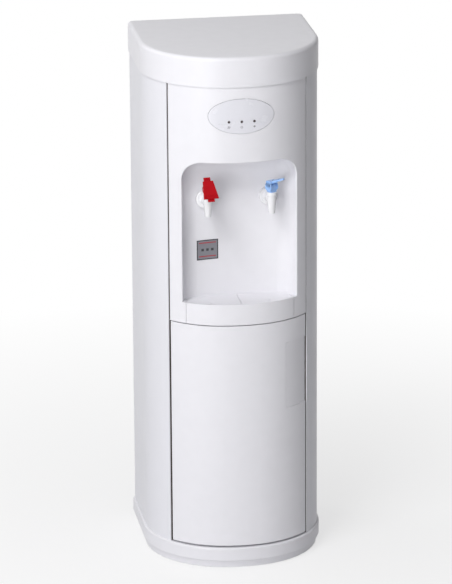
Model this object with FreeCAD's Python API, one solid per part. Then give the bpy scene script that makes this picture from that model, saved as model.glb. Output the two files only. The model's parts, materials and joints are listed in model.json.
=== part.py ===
"""Bottom load water cooler, built as separate pieces in millimetres.

The origin is the centre of the footprint, on the floor.  +Z is up, the front
with the taps faces -Y, and the door's grip side is +X.
"""
import FreeCAD
import Part
import math
import os

# ------------------------------------------------------------------ overall plan
HEIGHT = 1060.0            # floor to the top of the cap
BODY_HALF_W = 176.0        # half width over the side panels
BODY_DEPTH = 332.0         # bow front to back edge of the side panels
BOW_R = 235.0              # radius of the front's flatter middle
SHOULDER_X = 11.0          # how far the shoulders' centres stand off the middle
REAR_CORNER_R = 8.0        # radius of the two rear corners
SHOULDER_R = BODY_HALF_W - SHOULDER_X
FRONT_Y = -BODY_DEPTH / 2
BACK_Y = BODY_DEPTH / 2
BOW_CY = FRONT_Y + BOW_R
SHOULDER_CY = BOW_CY - math.sqrt((BOW_R - SHOULDER_R) ** 2 - SHOULDER_X ** 2)
REACH = 1.25 * max(BODY_HALF_W, BODY_DEPTH / 2)     # past every side, for trimming
PIERCE = 20.0              # how far a drill or cutter runs past what it cuts
OPEN_FRONT = 1.5 * FRONT_Y # where the niche-shaped cutters end, clear of the front
LEAST_CORNER_R = 1.0       # rear corners of the innermost plans
UP = FreeCAD.Vector(0, 0, 1)
BACKWARD = FreeCAD.Vector(0, 1, 0)
RIGHTWARD = FreeCAD.Vector(1, 0, 0)

# heights of the seams seen from the front
PLINTH_TOP = 44.5          # deck that the panels stand on
DOOR_GAP = 4.0             # slot below the door
PARTING_GAP = 2.0          # seam between the door and the fascia
FASCIA_H = 486.6           # fascia that shows below the cap; the door takes what is left
CAP_H = 60.0               # cap with its skirt
SEAT_STEP = 3.0            # how far the panels stand up inside the cap
CAP_BOTTOM = HEIGHT - CAP_H
FASCIA_LOW = CAP_BOTTOM - FASCIA_H
DOOR_TOP = FASCIA_LOW - PARTING_GAP
DOOR_LOW = PLINTH_TOP + DOOR_GAP
PANEL_TOP = CAP_BOTTOM + SEAT_STEP

# vertical slots each side of the front column
SLOT_IN = 38.0             # slot centre, measured in from the body's side
SLOT_W = 4.0
SLOT_X = BODY_HALF_W - SLOT_IN
SLOT_SIN = (SLOT_X - SHOULDER_X) / SHOULDER_R
SLOT_COS = math.sqrt(1.0 - SLOT_SIN ** 2)
HALF_SLOT = SLOT_W / 2

# ------------------------------------------------------------------ walls
SIDE_WALL = 1.0            # side panels
SIDE_RETURN = 14.0         # their fold into the slot
FOLD_SINK = 0.5            # folds start this far under the curved surface
FRONT_WALL = 3.0           # fascia and door skins
FASCIA_RETURN = 14.0       # end walls of the fascia
REAR_FLANGE = 18.0         # side panels' fold across the back
BACK_SHEET = 1.0           # back panel
BACK_RECESS = 25.0         # depth of its well
BACK_WELL_SIDE = 24.0      # flange left each side of the well
BACK_WELL_RISE = 25.5      # well above the plinth
BACK_WELL_DROP = 15.0      # well below the cap
BACK_WELL_R = 6.0          # its upright inner corners
BACK_FLANGE_Y = BACK_Y - SIDE_WALL
WELL_FRONT = BACK_FLANGE_Y - BACK_RECESS
WELL_FACE = WELL_FRONT + BACK_SHEET
BACK_WELL_HALF_W = BODY_HALF_W - BACK_WELL_SIDE
BACK_WELL_LOW = PLINTH_TOP + BACK_WELL_RISE
BACK_WELL_HIGH = CAP_BOTTOM - BACK_WELL_DROP
CAP_PROUD = 2.5            # cap overhang past the panels
CAP_WALL = 4.0
CAP_SHOULDER = 1.5         # extra wall above the seat
CAP_EDGE_R = 8.0
CAP_CLEARANCE = 0.3

# ------------------------------------------------------------------ plinth and feet
PLINTH_PROUD = 4.0         # upper tier past the panels
PLINTH_STEP_Z = 18.0       # seam between the two tiers
PLINTH_STEP_IN = 3.0       # how far the lower tier is set back at the seam
PLINTH_WALL = 3.5
PLINTH_LIP = 1.0           # extra wall of the upper tier
PLINTH_LEDGE = 2.0         # ledge inside, above the seam
PLINTH_DECK = 3.0
PLINTH_EDGE_R = 4.0
PLINTH_TUCK = 2.0          # how far the lower tier draws in at the floor
PLINTH_RIB = 2.5
PLINTH_RIB_SHARES = (-1.0, -1.0 / 3, 1.0 / 3, 1.0)   # of the rear feet's places
PLINTH_RIB_UP = 6.0        # ribs end this far above the skirt's edge
FOOT_LIFT = 2.0            # skirt to floor
FOOT_R = 17.0
FOOT_H = 8.0
FOOT_TAPER = 3.0
FOOT_AIR = 1.0
FOOT_STUD_R = 4.0
FOOT_STUD_H = 18.0
FOOT_BOSS_R = 9.0
FOOT_REAR_IN = 53.0        # rear feet in from the sides
FOOT_FRONT_IN = 94.0       # front feet in from the sides
FOOT_END_IN = 49.0         # feet in from the front and the back
FEET_AT = ((FOOT_REAR_IN - BODY_HALF_W, BACK_Y - FOOT_END_IN),
           (BODY_HALF_W - FOOT_REAR_IN, BACK_Y - FOOT_END_IN),
           (FOOT_FRONT_IN - BODY_HALF_W, FRONT_Y + FOOT_END_IN),
           (BODY_HALF_W - FOOT_FRONT_IN, FRONT_Y + FOOT_END_IN))

# ------------------------------------------------------------------ door
DOOR_DEPTH = 17.0          # skin to the back of the end walls
DOOR_END_WALL = 3.0
DOOR_EDGE_R = 2.8
DOOR_RIM = 3.0             # top and bottom walls
DOOR_LINER = 2.0
LINER_SINK = 0.5           # liner below the rims' edges
DOOR_RIB = 2.0
DOOR_RIB_COUNT = 4
HINGE_PIN_R = 3.0
HINGE_RUN = 0.05           # radial running clearance on the pins
HINGE_PIN_REACH = 16.0     # pin inside the door
HINGE_BUSH_R = 4.2
HINGE_BOSS_R = 5.7
HINGE_BOSS_H = 18.0
COLLAR_LIP = 1.0           # collar past the bush
COLLAR_AIR = 0.4           # collar to door
GRIP_W = 48.0              # grip's left edge to the slot's centre
GRIP_H = 137.0
GRIP_DROP = 46.4           # top of the grip below the door's top
GRIP_T = 2.4
GRIP_BACKING = 2.6
GRIP_BORDER = 3.0          # backing past the grip
GRIP_SEAM = 0.4
GRIP_LEAN_DEG = 2.6        # the grip leans in towards the slot
GRIP_Z1 = DOOR_TOP - GRIP_DROP
GRIP_Z0 = GRIP_Z1 - GRIP_H
STRIKE_IN = 6.0            # strike's centre left of the grip
STRIKE_W = 34.0
STRIKE_H = 16.0
STRIKE_T = 1.2
CATCH_AIR = 0.4
CATCH_W = 24.0
CATCH_D = 16.0
CATCH_H = 14.0
MAGNET_W = 16.0
MAGNET_D = 3.0
MAGNET_H = 9.0
MAGNET_RISE = 2.0          # magnet above the holder's lower edge
GRIP_LEFT = SLOT_X - GRIP_W
STRIKE_X = GRIP_LEFT - STRIKE_IN
PIVOT_T = -HALF_SLOT - DOOR_DEPTH / 2
PIVOT_N = DOOR_DEPTH / 2

# ------------------------------------------------------------------ fascia and niche
NICHE_SIDE = 23.5          # niche's side wall to the slot's centre
NICHE_DEPTH = 82.0         # bow to the deepest point of the back wall
NICHE_BACK_R = 352.0       # gentle hollow of the back wall
NICHE_CORNER_R = 44.0
NICHE_TOP_R = 40.0
NICHE_DROP = 154.0         # top of the niche below the cap
NICHE_WALL = 2.5
NICHE_RIM_R = 2.0
NICHE_SKIN = 1.0           # pocket walls stop this far under the bow
TRAY_FRONT_H = 42.6        # front wall of the drip tray
NICHE_HALF_W = SLOT_X - NICHE_SIDE
NICHE_BACK = FRONT_Y + NICHE_DEPTH
NICHE_FLOOR = FASCIA_LOW + TRAY_FRONT_H
NICHE_TOP = CAP_BOTTOM - NICHE_DROP
TAP_X = 63.5
TAP_DROP = 90.0            # tap's bore below the niche's top
TAP_PAD_PROUD = 8.0        # flat pad in front of the back wall's deepest point
TAP_PAD_BACK_T = 1.0
TAP_PAD_R = 18.5
TAP_Z = NICHE_TOP - TAP_DROP
TAP_PAD_Y = NICHE_BACK - TAP_PAD_PROUD
TAP_PAD_BACK = NICHE_BACK + TAP_PAD_BACK_T

# ------------------------------------------------------------------ drip tray
TRAY_SIDE = 6.5            # fascia ledge left each side of the tray
TRAY_REAR_GAP = 2.5        # tray to the niche's back wall
TRAY_CORNER_R = 32.0
TRAY_CLEARANCE = 0.6
TRAY_WALL = 2.0
TRAY_FLOOR = 2.0
TRAY_AIR = 0.4             # under the tray
COVER_T = 2.5
COVER_BELOW_LIP = 1.5
COVER_FIT = 0.4
COVER_LEDGE = 3.0
COVER_SPLIT = 0.8
DRAIN_X = 59.0
DRAIN_DISH_R = 13.0
DRAIN_DISH = 1.2
DRAIN_HOLE_R = 4.0
TRAY_HALF_W = NICHE_HALF_W - TRAY_SIDE
TRAY_BACK = NICHE_BACK - TRAY_REAR_GAP

# ------------------------------------------------------------------ badge
BADGE_DROP = 59.0          # badge centre below the cap
BADGE_HALF_W = 65.0
BADGE_HALF_H = 35.0
BADGE_SEAM = 0.7
BADGE_PROUD = 0.3
BADGE_LIP = 4.0
BADGE_LIP_T = 1.5
STRIP_DROP = 11.0          # lamp strip below the badge's centre
STRIP_HALF_W = 46.0
STRIP_HALF_H = 4.5
STRIP_SINK = 0.5
LAMP_PITCH = 25.2
LAMP_R = 2.7
LAMP_DOME = 1.2
LAMP_PROUD = 0.8
LAMP_LENGTH = 9.0
BOARD_T = 1.6
BOARD_HALF_W = 42.0
BOARD_H = 26.0
BOARD_DROP = 8.0           # board's lower edge below the lamps
BOARD_POST_R = 3.0
BOARD_POST_X = 36.0
BOARD_MARGIN = 8.0
RELAY_W = 16.0
RELAY_H = 18.0
RELAY_D = 12.0
SOCKET_W = 20.0
SOCKET_H = 10.0
SOCKET_D = 8.0
CAPACITOR_R = 4.0
CAPACITOR_L = 11.0
BADGE_Z = CAP_BOTTOM - BADGE_DROP
STRIP_Z = BADGE_Z - STRIP_DROP
BOARD_Y = FRONT_Y + LAMP_LENGTH
LAMP_XS = (-LAMP_PITCH, 0.0, LAMP_PITCH)

# ------------------------------------------------------------------ shelf and bay
SHELF_T = 1.5
SHELF_FRONT_AIR = 0.4      # behind the fascia and tray fronts
SHELF_DOOR_AIR = 0.8       # over the door
GUIDE_T = 1.5              # folded guides beside the drip tray
GUIDE_H = 12.0
BAY_SLOT_IN = 4.0          # liner's inner face in from the slot's centre
BAY_REAR_GAP = 18.0        # liner's inner face to the back panel's well
BAY_CORNER_R = 25.0
BAY_WALL = 2.0
BAY_MOUTH_RUN = 15.0       # where the liner turns in to the slot folds
BAY_FLOOR_T = 4.0
BAY_DOOR_AIR = 2.0
NOSE_IN = 14.0             # the floor's front part stops this far from the slots
STOP_RING_AIR = 5.0        # curb to liner
STOP_RING_W = 4.0
STOP_RING_H = 6.0
STOP_RING_EDGE_R = 1.4
STOP_RING_BACK = 1.0       # curb's rear to the liner
BOTTLE_PAD_T = 1.0         # raised pad that the bottle stands on
BOTTLE_PAD_IN = 5.0        # pad to the curb
TRIM_T = 1.0               # dark strips in the slots
TRIM_FROM = 2.0
TRIM_TO = 11.0
SHELF_LOW = DOOR_TOP + SHELF_DOOR_AIR
SHELF_HIGH = SHELF_LOW + SHELF_T
BAY_FLOOR_TOP = PLINTH_TOP + BAY_FLOOR_T
BAY_HALF_W = SLOT_X - BAY_SLOT_IN
BAY_BACK = WELL_FRONT - BAY_REAR_GAP
BAY_OUT_X = BAY_HALF_W + BAY_WALL
STOP_RING_R = BAY_HALF_W - STOP_RING_AIR
STOP_RING_Y = BAY_BACK - STOP_RING_BACK - STOP_RING_R
BOTTLE_PAD_R = STOP_RING_R - STOP_RING_W - BOTTLE_PAD_IN

# ------------------------------------------------------------------ taps
FLANGE_R = 17.5
FLANGE_T = 3.5
FLANGE_EDGE_R = 1.2
GASKET_T = 1.5
GASKET_IN = 1.0            # gasket's edge inside the flange's
TAIL_R = 8.0
TAIL_BORE_R = 4.0
TAIL_L = 32.0              # tail behind the pad
TAIL_AIR = 0.2
NUT_AF = 27.0
NUT_T = 7.0
NUT_SIDES = 6
TAP_REACH = 45.0           # pad to spout axis
ARM_R = 8.0
BARREL_R = 9.0
BARREL_DROP = 16.0         # barrel below the tap's bore
BARREL_RISE = 21.0         # and above it
BARREL_EDGE_R = 1.0
SPOUT_H = 7.0
SPOUT_R = 7.0
SPOUT_BORE_R = 4.6
SEAT_RISE = 5.0            # valve seat above the barrel's lower end
CHAMBER_R = 6.6
BONNET_HALF_W = 7.0        # along the pivot
BONNET_R = 6.3             # rounded top about the pivot
PIVOT_RISE = 11.0          # lever pivot above the barrel
BONNET_SKIRT_H = 4.0
TRUNNION_R = 1.5
TRUNNION_RUN = 0.05
EAR_GAP = 0.3
EAR_T = 2.3
EAR_R = 6.8
STEM_R = 2.2
STEM_RUN = 0.3
STEM_SEAL_R = 5.8
STEM_SEAL_T = 3.0
STEM_TOP_BELOW = 4.0       # stem end below the trunnions
STEM_BORE_LEFT = 0.2       # wall left between the stem's bore and the trunnions
LEVER_AIR = 0.5
LEVER_SINK = 0.5           # the cheeks run this far into what they carry
COLD_TURN_DEG = 32.0       # levers are turned about their stems
HOT_TURN_DEG = 8.0
COLD_ARM_L = 36.0
COLD_ARM_DEG = 24.0        # the arm rises by this much
COLD_ARM_T = 5.0
COLD_ARM_W = 9.0
COLD_TIP_T = 4.0
COLD_TIP_W = 7.0
COLD_TIP_R = 2.9
COLD_KNEE = 2.0            # where the bridge's top turns up into the arm
COLD_KNEE_RISE = 1.0
HOT_SLOPE_DEG = 50.0       # paddle below the horizontal
HOT_TOP_HALF_W = 11.0
HOT_LOW_HALF_W = 15.5
HOT_UP = 14.0              # paddle above the pivot, along its slope
HOT_DOWN = 22.0            # and below it
HOT_T = 3.0
HOT_CORNER_R = 2.0
HOT_BAR_W = 1.6            # two grip bars across the paddle's lower end
HOT_BAR_PROUD = 0.7
HOT_BAR_INSET = 1.0
HOT_BARS_FROM = (6.0, 2.4)
WEB_UP = 5.8               # cheek webs' reach up and down the slope
WEB_DOWN = 10.8
LOCK_HALF_W = 6.9
LOCK_T = 2.0
LOCK_UP = 23.0
LOCK_DOWN = 27.5
LOCK_LIP_X = 5.9           # lips that hold the lock up against the paddle
LOCK_LIP_T = 1.0
LOCK_LIP_AIR = 0.4
LOCK_LIP_FROM = 8.0
SPOUT_Y = TAP_PAD_Y - TAP_REACH
TAIL_END = TAP_PAD_Y + TAIL_L
BARREL_LOW = TAP_Z - BARREL_DROP
BARREL_HIGH = TAP_Z + BARREL_RISE
SPOUT_LOW = BARREL_LOW - SPOUT_H
SEAT_Z = BARREL_LOW + SEAT_RISE
PIVOT_Z = BARREL_HIGH + PIVOT_RISE
DRAIN_Y = SPOUT_Y

# ------------------------------------------------------------------ tanks
TANK_WALL = 1.2
TANK_CONE = 14.0           # the ends draw in by this much
HOT_IN = 91.0              # tank's axis in from the left side
HOT_R = 48.0
HOT_AIR = 6.5              # hot line to the jacket
JACKET_T = 10.0
JACKET_END = 12.0
COLD_X = 0.0
COLD_AIR = 2.0             # insulation to the taps' tails and to the back panel
COLD_DROP = 75.0           # top of the cold tank below the cap's skirt
FOAM_T = 23.0
FOAM_END = 20.0
SHELF2_T = 2.0             # bracket under the cold tank
SHELF2_LIP = 18.0
SHELF2_DROP = 56.0         # bracket below the taps' bores
SHELF2_AIR = 10.8          # bracket over the hot tank's jacket
LIP_INSET = 16.0           # its front lip stops short of the side panels
LINE_R = 5.0
LINE_BORE_R = 3.5
LINE_BEND_R = 13.0
HOT_LINE_RUN = 15.5        # straight run behind the tail before it drops
HOT_LINE_DROP = 13.2       # entry below the hot tank's top
SHELF2_Z = TAP_Z - SHELF2_DROP
COLD_R = (WELL_FRONT - TAIL_END) / 2 - COLD_AIR - FOAM_T
COLD_Y = (WELL_FRONT + TAIL_END) / 2
COLD_LOW = SHELF2_Z + SHELF2_T + FOAM_END
COLD_HIGH = CAP_BOTTOM - COLD_DROP
SHELF2_FRONT = COLD_Y - COLD_R
HOT_LINE_Y = TAIL_END + HOT_LINE_RUN
HOT_X = HOT_IN - BODY_HALF_W
HOT_Y = HOT_LINE_Y + LINE_R + HOT_AIR + JACKET_T + HOT_R
HOT_LOW = SHELF_HIGH + JACKET_END
HOT_HIGH = SHELF2_Z - SHELF2_AIR - JACKET_END
HOT_LINE_Z = HOT_HIGH - HOT_LINE_DROP

# ------------------------------------------------------------------ cooling circuit
COMP_IN = 96.0             # compressor's axis in from the right side
COMP_FROM_BACK = 111.0
COMP_R = 62.0
COMP_H = 145.0
COMP_MOUNT_H = 12.0        # rubber mounts under the foot plate
COMP_WALL = 9.0
COMP_DOME_R = 26.0
COMP_SEAM_PROUD = 3.0
COMP_SEAM_H = 5.0
COMP_SEAM_RISE = 82.8
COMP_PLATE_T = 3.0
COMP_FOOT_PITCH = 96.0
COMP_FOOT_R = 9.0
COMP_FOOT_BORDER = 2.0
COMP_BOLT_R = 3.0
COMP_BOLT_HEAD = 2.5
COMP_BOLT_HEAD_T = 3.0
COMP_BOLT_UP = 4.0
COIL_SIDE = 26.0           # coil's bends to the well's side
COIL_RISE = 64.8           # lowest run above the shelf
COIL_DROP = 85.0           # highest run below the well's top
COIL_DEPTH = 12.5          # tube's centre behind the well's floor
COIL_RUNS = 9
COIL_TUBE_R = 2.5
COIL_BEND_SHARE = 0.45     # bend radius over pitch
COIL_LEAD_OFF = 38.0       # leads beside the compressor's axis
COIL_LEAD_R = 8.0
COIL_LEAD_IN = 14.0        # upper lead's end inside the back panel
WIRE_W = 1.5
WIRE_SIDE = 14.0           # outer wires to the bends
WIRE_COUNT = 17            # on each side of the tube
WIRE_OVER = 12.0
COIL_CLIP_W = 12.0
COIL_CLIP_H = 8.0
COIL_CLIP_SIDE = 21.0
DRIER_R = 8.0
DRIER_H = 70.0
DRIER_TOP = 8.0
DRIER_CONE = 4.0
COMP_X = BODY_HALF_W - COMP_IN
COMP_Y = BACK_Y - COMP_FROM_BACK
COMP_LOW = SHELF_HIGH + COMP_MOUNT_H
COMP_HIGH = COMP_LOW + COMP_H
COMP_SEAM_Z = COMP_LOW + COMP_SEAM_RISE
COIL_Y = WELL_FACE + COIL_DEPTH
COIL_HALF_W = BACK_WELL_HALF_W - COIL_SIDE
COIL_LOW = SHELF_HIGH + COIL_RISE
COIL_HIGH = BACK_WELL_HIGH - COIL_DROP
COIL_PITCH = (COIL_HIGH - COIL_LOW) / (COIL_RUNS - 1)
COIL_BEND_R = COIL_BEND_SHARE * COIL_PITCH
COIL_LEAD_X = COMP_X + COIL_LEAD_OFF
COIL_OUT_X = COIL_LEAD_X * (1 if COIL_RUNS % 2 == 0 else -1)
WIRE_HALF = COIL_HALF_W - WIRE_SIDE
WIRE_PITCH = 2 * WIRE_HALF / (WIRE_COUNT - 1)

# ------------------------------------------------------------------ pump and probe
PUMP_OFF = 19.0            # pump's axis outside the liner
PUMP_FROM_BACK = 111.0
PUMP_DROP = 47.2           # pump's top below the shelf
PUMP_HEAD = 28.0
PUMP_HEAD_OUT = 13.0       # head past the pump's axis
PUMP_MOTOR_R = 13.0
PUMP_MOTOR_H = 52.0
PUMP_PLATE_T = 3.0
PUMP_PLATE_WING = 8.0
PUMP_PLATE_DROP = 6.0
FEED_DROP = 45.0           # feed line's entry below the cold tank's top
FEED_FORWARD = 6.0         # feed and suction ports either side of the pump's axis
SUCTION_BACK = 9.0
FEED_BEND_R = 20.0
TUBE_R = 4.0
TUBE_BORE_R = 2.6
TUBE_BEND_R = 8.0
PROBE_IN = 35.0            # probe's axis in from the liner's side and back
PROBE_CAP_R = 30.0
PROBE_CAP_H = 24.0
PROBE_CAP_T = 3.0
PROBE_CAP_EDGE_R = 3.0
PROBE_CAP_BORE_R = 27.7    # seals on a 55 mm bottle neck
PROBE_TUBE_R = 5.0
PROBE_TUBE_BORE_R = 3.2
PROBE_TUBE_RISE = 19.5     # tube's end above the bay's floor
PROBE_FOOT_H = 14.0
PROBE_FOOT_DROP = 8.0
PROBE_FOOT_FLARE = 4.0
PROBE_NOTCHES = 6
PROBE_NOTCH_W = 4.0
PROBE_NOTCH_H = 7.0
PROBE_HOSE_R = 7.0
PROBE_HOSE_BORE_R = 4.5
PROBE_HOSE_RIBS = 7
PROBE_HOSE_RIB = 1.0
PROBE_HOSE_L = 44.2
INLET_H = 16.0
INLET_HALF = 9.5
SPUD_H = 10.0              # hose spuds
HANGER_T = 4.0
HANGER_ARM_W = 10.0
HANGER_REACH = 20.0
HANGER_PAD_T = 9.0
HANGER_PAD_H = 22.0
HANGER_BRIDGE = 12.0
PUMP_X = BAY_OUT_X + PUMP_OFF
PUMP_Y = BACK_Y - PUMP_FROM_BACK
PUMP_TOP = SHELF_LOW - PUMP_DROP
FEED_Y = PUMP_Y - FEED_FORWARD
SUCTION_Y = PUMP_Y + SUCTION_BACK
FEED_Z = COLD_HIGH - FEED_DROP
INLET_LOW = SHELF_LOW - INLET_H
INLET_Z = SHELF_LOW - INLET_H / 2
PROBE_X = BAY_HALF_W - PROBE_IN
PROBE_Y = BAY_BACK - PROBE_IN
PROBE_CAP_TOP = INLET_LOW - PROBE_HOSE_L
PROBE_CAP_LOW = PROBE_CAP_TOP - PROBE_CAP_H
PROBE_TUBE_LOW = BAY_FLOOR_TOP + PROBE_TUBE_RISE
HANGER_GAP = PROBE_TUBE_R + 3.0

# ------------------------------------------------------------------ rear fittings
FITTING_SIDE = 42.0        # gland and drain in from the well's sides
FITTING_RISE = 60.0        # and above its lower edge
GLAND_R = 11.0
GLAND_BORE_R = 4.0
GLAND_T = 12.0
GLAND_FLANGE_T = 3.0
GLAND_LIP = 2.0            # flange past the neck
SPIGOT_R = 9.0
SPIGOT_BORE_R = 6.0
SPIGOT_L = 14.0
SPIGOT_COLLAR = 5.0
SPIGOT_COLLAR_T = 2.0
SPIGOT_TAIL_L = 12.0
SPIGOT_TAIL_IN = 1.0
CAP_AIR = 0.05
DRAIN_CAP_R = 12.5
DRAIN_CAP_L = 12.0
DRAIN_CAP_END = 3.0
DRAIN_CAP_GAP = 0.4
DRAIN_CAP_FLUTES = 12
DRAIN_CAP_FLUTE_R = 1.1
SWITCH_SIDE = 52.0         # switches in from the well's left side
SWITCH_DROP = 41.4         # below the door's top edge
SWITCH_PITCH = 24.0
SWITCH_HALF_W = 27.0
SWITCH_HALF_H = 16.0
SWITCH_LIP = 3.0
SWITCH_PROUD = 2.5
SWITCH_DEPTH = 13.0
SWITCH_WELL = 10.0
ROCKER_HALF_W = 8.5
ROCKER_HALF_H = 12.0
ROCKER_AIR = 0.4
ROCKER_END_AIR = 0.8
ROCKER_AXIS = 6.0          # axis below the bezel's face
ROCKER_DEPTH = 2.0
ROCKER_TAPER = 2.5
ROCKER_PROUD = 2.2
ROCKER_VEE = 0.4
ROCKER_EDGE = 1.0
AXLE_R = 1.5
AXLE_RUN = 0.05
AXLE_L = 1.2               # stub axle beyond the rocker's side
SCREW_HEAD_R = 4.0
SCREW_HEAD_T = 2.2
SCREW_HEAD_TOP_R = 2.8
SCREW_R = 1.9
SCREW_L = 8.0
SCREW_IN = 13.0            # screws in from the body's sides
SCREW_COUNT = 5            # a side
SCREW_END = 45.0           # end screws to the panels' ends
VENT_W = 70.0
VENT_H = 4.0
VENT_PITCH = 14.0
VENT_COUNT = 9
VENT_RISE = 29.8           # lowest vent above the shelf
VENT_X = 62.0
GLAND_X = FITTING_SIDE - BACK_WELL_HALF_W
GLAND_Z = BACK_WELL_LOW + FITTING_RISE
DRAIN_CAP_X = BACK_WELL_HALF_W - FITTING_SIDE
DRAIN_CAP_Z = BACK_WELL_LOW + FITTING_RISE
SWITCH_X = SWITCH_SIDE - BACK_WELL_HALF_W
SWITCH_Z = DOOR_TOP - SWITCH_DROP
ROCKER_XS = (SWITCH_X - SWITCH_PITCH / 2, SWITCH_X + SWITCH_PITCH / 2)
ROCKER_AXIS_Y = WELL_FACE + SWITCH_PROUD - ROCKER_AXIS
SCREW_X = BODY_HALF_W - SCREW_IN
SCREW_STEP = (PANEL_TOP - PLINTH_TOP - 2 * SCREW_END) / (SCREW_COUNT - 1)
SCREWS_AT = [(x, PLINTH_TOP + SCREW_END + row * SCREW_STEP)
             for x in (-SCREW_X, SCREW_X) for row in range(SCREW_COUNT)]
VENT_LOW = SHELF_HIGH + VENT_RISE


# ------------------------------------------------------------------ small helpers
def vec(x, y, z=0.0):
    return FreeCAD.Vector(x, y, z)


def box(x0, x1, y0, y1, z0, z1):
    """A box between two values on each axis."""
    return Part.makeBox(x1 - x0, y1 - y0, z1 - z0, vec(x0, y0, z0))


def rod(radius, length, base, direction):
    """A cylinder that starts at base and runs along direction."""
    return Part.makeCylinder(radius, length, base, direction)


def pipe(radius, bore, length, base, direction):
    """A straight tube."""
    return rod(radius, length, base, direction).cut(rod(bore, length, base, direction))


def prism(points, z0, z1):
    """A straight prism over a polygon of (x, y) points."""
    corners = [vec(x, y, z0) for x, y in points]
    face = Part.Face(Part.makePolygon(corners + corners[:1]))
    return face.extrude(vec(0, 0, z1 - z0))


def fuse(first, *others):
    """One solid from several, with the seams between coplanar faces removed."""
    return first.fuse(list(others)).removeSplitter()


def arc(start, middle, end):
    return Part.Arc(start, middle, end).toShape()


def line(start, end):
    return Part.LineSegment(start, end).toShape()


def bent_tube(points, radius, bore, bend):
    """A tube along straight runs with tangent arcs of one radius at the corners."""
    edges = []
    at = points[0]
    for before, corner, after in zip(points, points[1:], points[2:]):
        come = (corner - before).normalize()
        leave = (after - corner).normalize()
        half_turn = come.getAngle(leave) / 2
        back_off = bend * math.tan(half_turn)
        enter = corner - come * back_off
        out = corner + leave * back_off
        inward = (leave - come).normalize()
        centre = corner + inward * (bend / math.cos(half_turn))
        middle = centre - inward * bend
        if (enter - at).Length > 1e-6:
            edges.append(line(at, enter))
        edges.append(arc(enter, middle, out))
        at = out
    edges.append(line(at, points[-1]))
    spine = Part.Wire(edges)
    heading = (points[1] - points[0]).normalize()
    skins = []
    for size in (radius, bore):
        if size > 0:
            ring = Part.Wire(Part.makeCircle(size, points[0], heading))
            skins.append(spine.makePipeShell([ring], True, False))
    if len(skins) == 1:
        return skins[0]
    return skins[0].cut(skins[1])


def picked_edges(shape, test):
    """The edges whose middle point passes the test."""
    return [edge for edge in shape.Edges if test(edge.CenterOfMass, edge)]


def is_upright(edge):
    return abs(edge.BoundBox.ZLength - edge.Length) < 1e-3


# ------------------------------------------------------------------ the D-shaped plan
def d_face(grow, z):
    """The D-shaped plan at height z, grown outwards by grow."""
    half = BODY_HALF_W + grow
    back = BACK_Y + grow
    corner = max(REAR_CORNER_R + grow, LEAST_CORNER_R)
    toward = vec(SHOULDER_X, SHOULDER_CY - BOW_CY).normalize()
    blend = vec(0, BOW_CY, z) + toward * (BOW_R + grow)
    shoulder = vec(SHOULDER_X, SHOULDER_CY, z)
    side = shoulder + vec(SHOULDER_R + grow, 0)
    middle = shoulder + (toward + vec(1, 0)).normalize() * (SHOULDER_R + grow)
    rear_side = vec(half, back - corner, z)
    rear = vec(half - corner, back, z)
    rear_middle = vec(half - corner, back - corner, z) + vec(1, 1).normalize() * corner
    nose = vec(0, FRONT_Y - grow, z)

    def left(point):
        return vec(-point.x, point.y, point.z)

    edges = [
        arc(left(blend), nose, blend),
        arc(blend, middle, side),
        line(side, rear_side),
        arc(rear_side, rear_middle, rear),
        line(rear, left(rear)),
        arc(left(rear), left(rear_middle), left(rear_side)),
        line(left(rear_side), left(side)),
        arc(left(side), left(middle), left(blend)),
    ]
    return Part.Face(Part.Wire(edges))


def d_prism(grow, z0, z1):
    return d_face(grow, z0).extrude(vec(0, 0, z1 - z0))


def d_band(outer, inner, z0, z1):
    """The wall between two growths of the plan."""
    return d_prism(outer, z0, z1).cut(d_prism(inner, z0, z1))


def front_y(x, grow=0.0):
    """Y of the front of the plan at x."""
    radius = SHOULDER_R + grow
    reach = abs(x) - SHOULDER_X
    toward = vec(SHOULDER_X, SHOULDER_CY - BOW_CY).normalize()
    if abs(x) < toward.x * (BOW_R + grow):
        return BOW_CY - math.sqrt((BOW_R + grow) ** 2 - x ** 2)
    return SHOULDER_CY - math.sqrt(radius ** 2 - reach ** 2)


def slot_point(side, t, n):
    """A point by the slot: t along the surface towards the side, n inwards."""
    x = SHOULDER_X + SLOT_SIN * (SHOULDER_R - n) + SLOT_COS * t
    y = SHOULDER_CY - SLOT_COS * (SHOULDER_R - n) + SLOT_SIN * t
    return (side * x, y)


def slot_block(side, t0, t1, n0, n1, z0, z1):
    """A block set square to the surface beside a slot."""
    corners = [slot_point(side, t0, n0), slot_point(side, t1, n0)]
    corners += [slot_point(side, t1, n1), slot_point(side, t0, n1)]
    return prism(corners, z0, z1)


def front_wedge(inset, z0, z1):
    """The region between the slots, its ends inset from each slot's centre."""
    right_in = slot_point(1, -inset, REACH / 2)
    right_out = slot_point(1, -inset, -REACH / 2)
    left_out = slot_point(-1, -inset, -REACH / 2)
    left_in = slot_point(-1, -inset, REACH / 2)
    return prism([right_in, right_out, left_out, left_in], z0, z1)


def side_wedge(side, z0, z1):
    """The region that one side panel wraps, from its slot to its rear fold."""
    fold = BODY_HALF_W - REAR_FLANGE
    start = slot_point(side, HALF_SLOT, REACH / 2)
    out = slot_point(side, HALF_SLOT, -REACH / 2)
    points = [start, out, (2 * side * REACH, out[1]), (2 * side * REACH, REACH)]
    points += [(side * fold, REACH), (side * fold, 0.0)]
    return prism(points, z0, z1)


def bow_wall(half_w, outer, inner, back, z0, z1):
    """Part of the front wall, cut square at x = +-half_w and ahead of y = back."""
    window = box(-half_w, half_w, FRONT_Y - PIERCE, back, z0, z1)
    return d_band(outer, inner, z0, z1).common(window)


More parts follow.
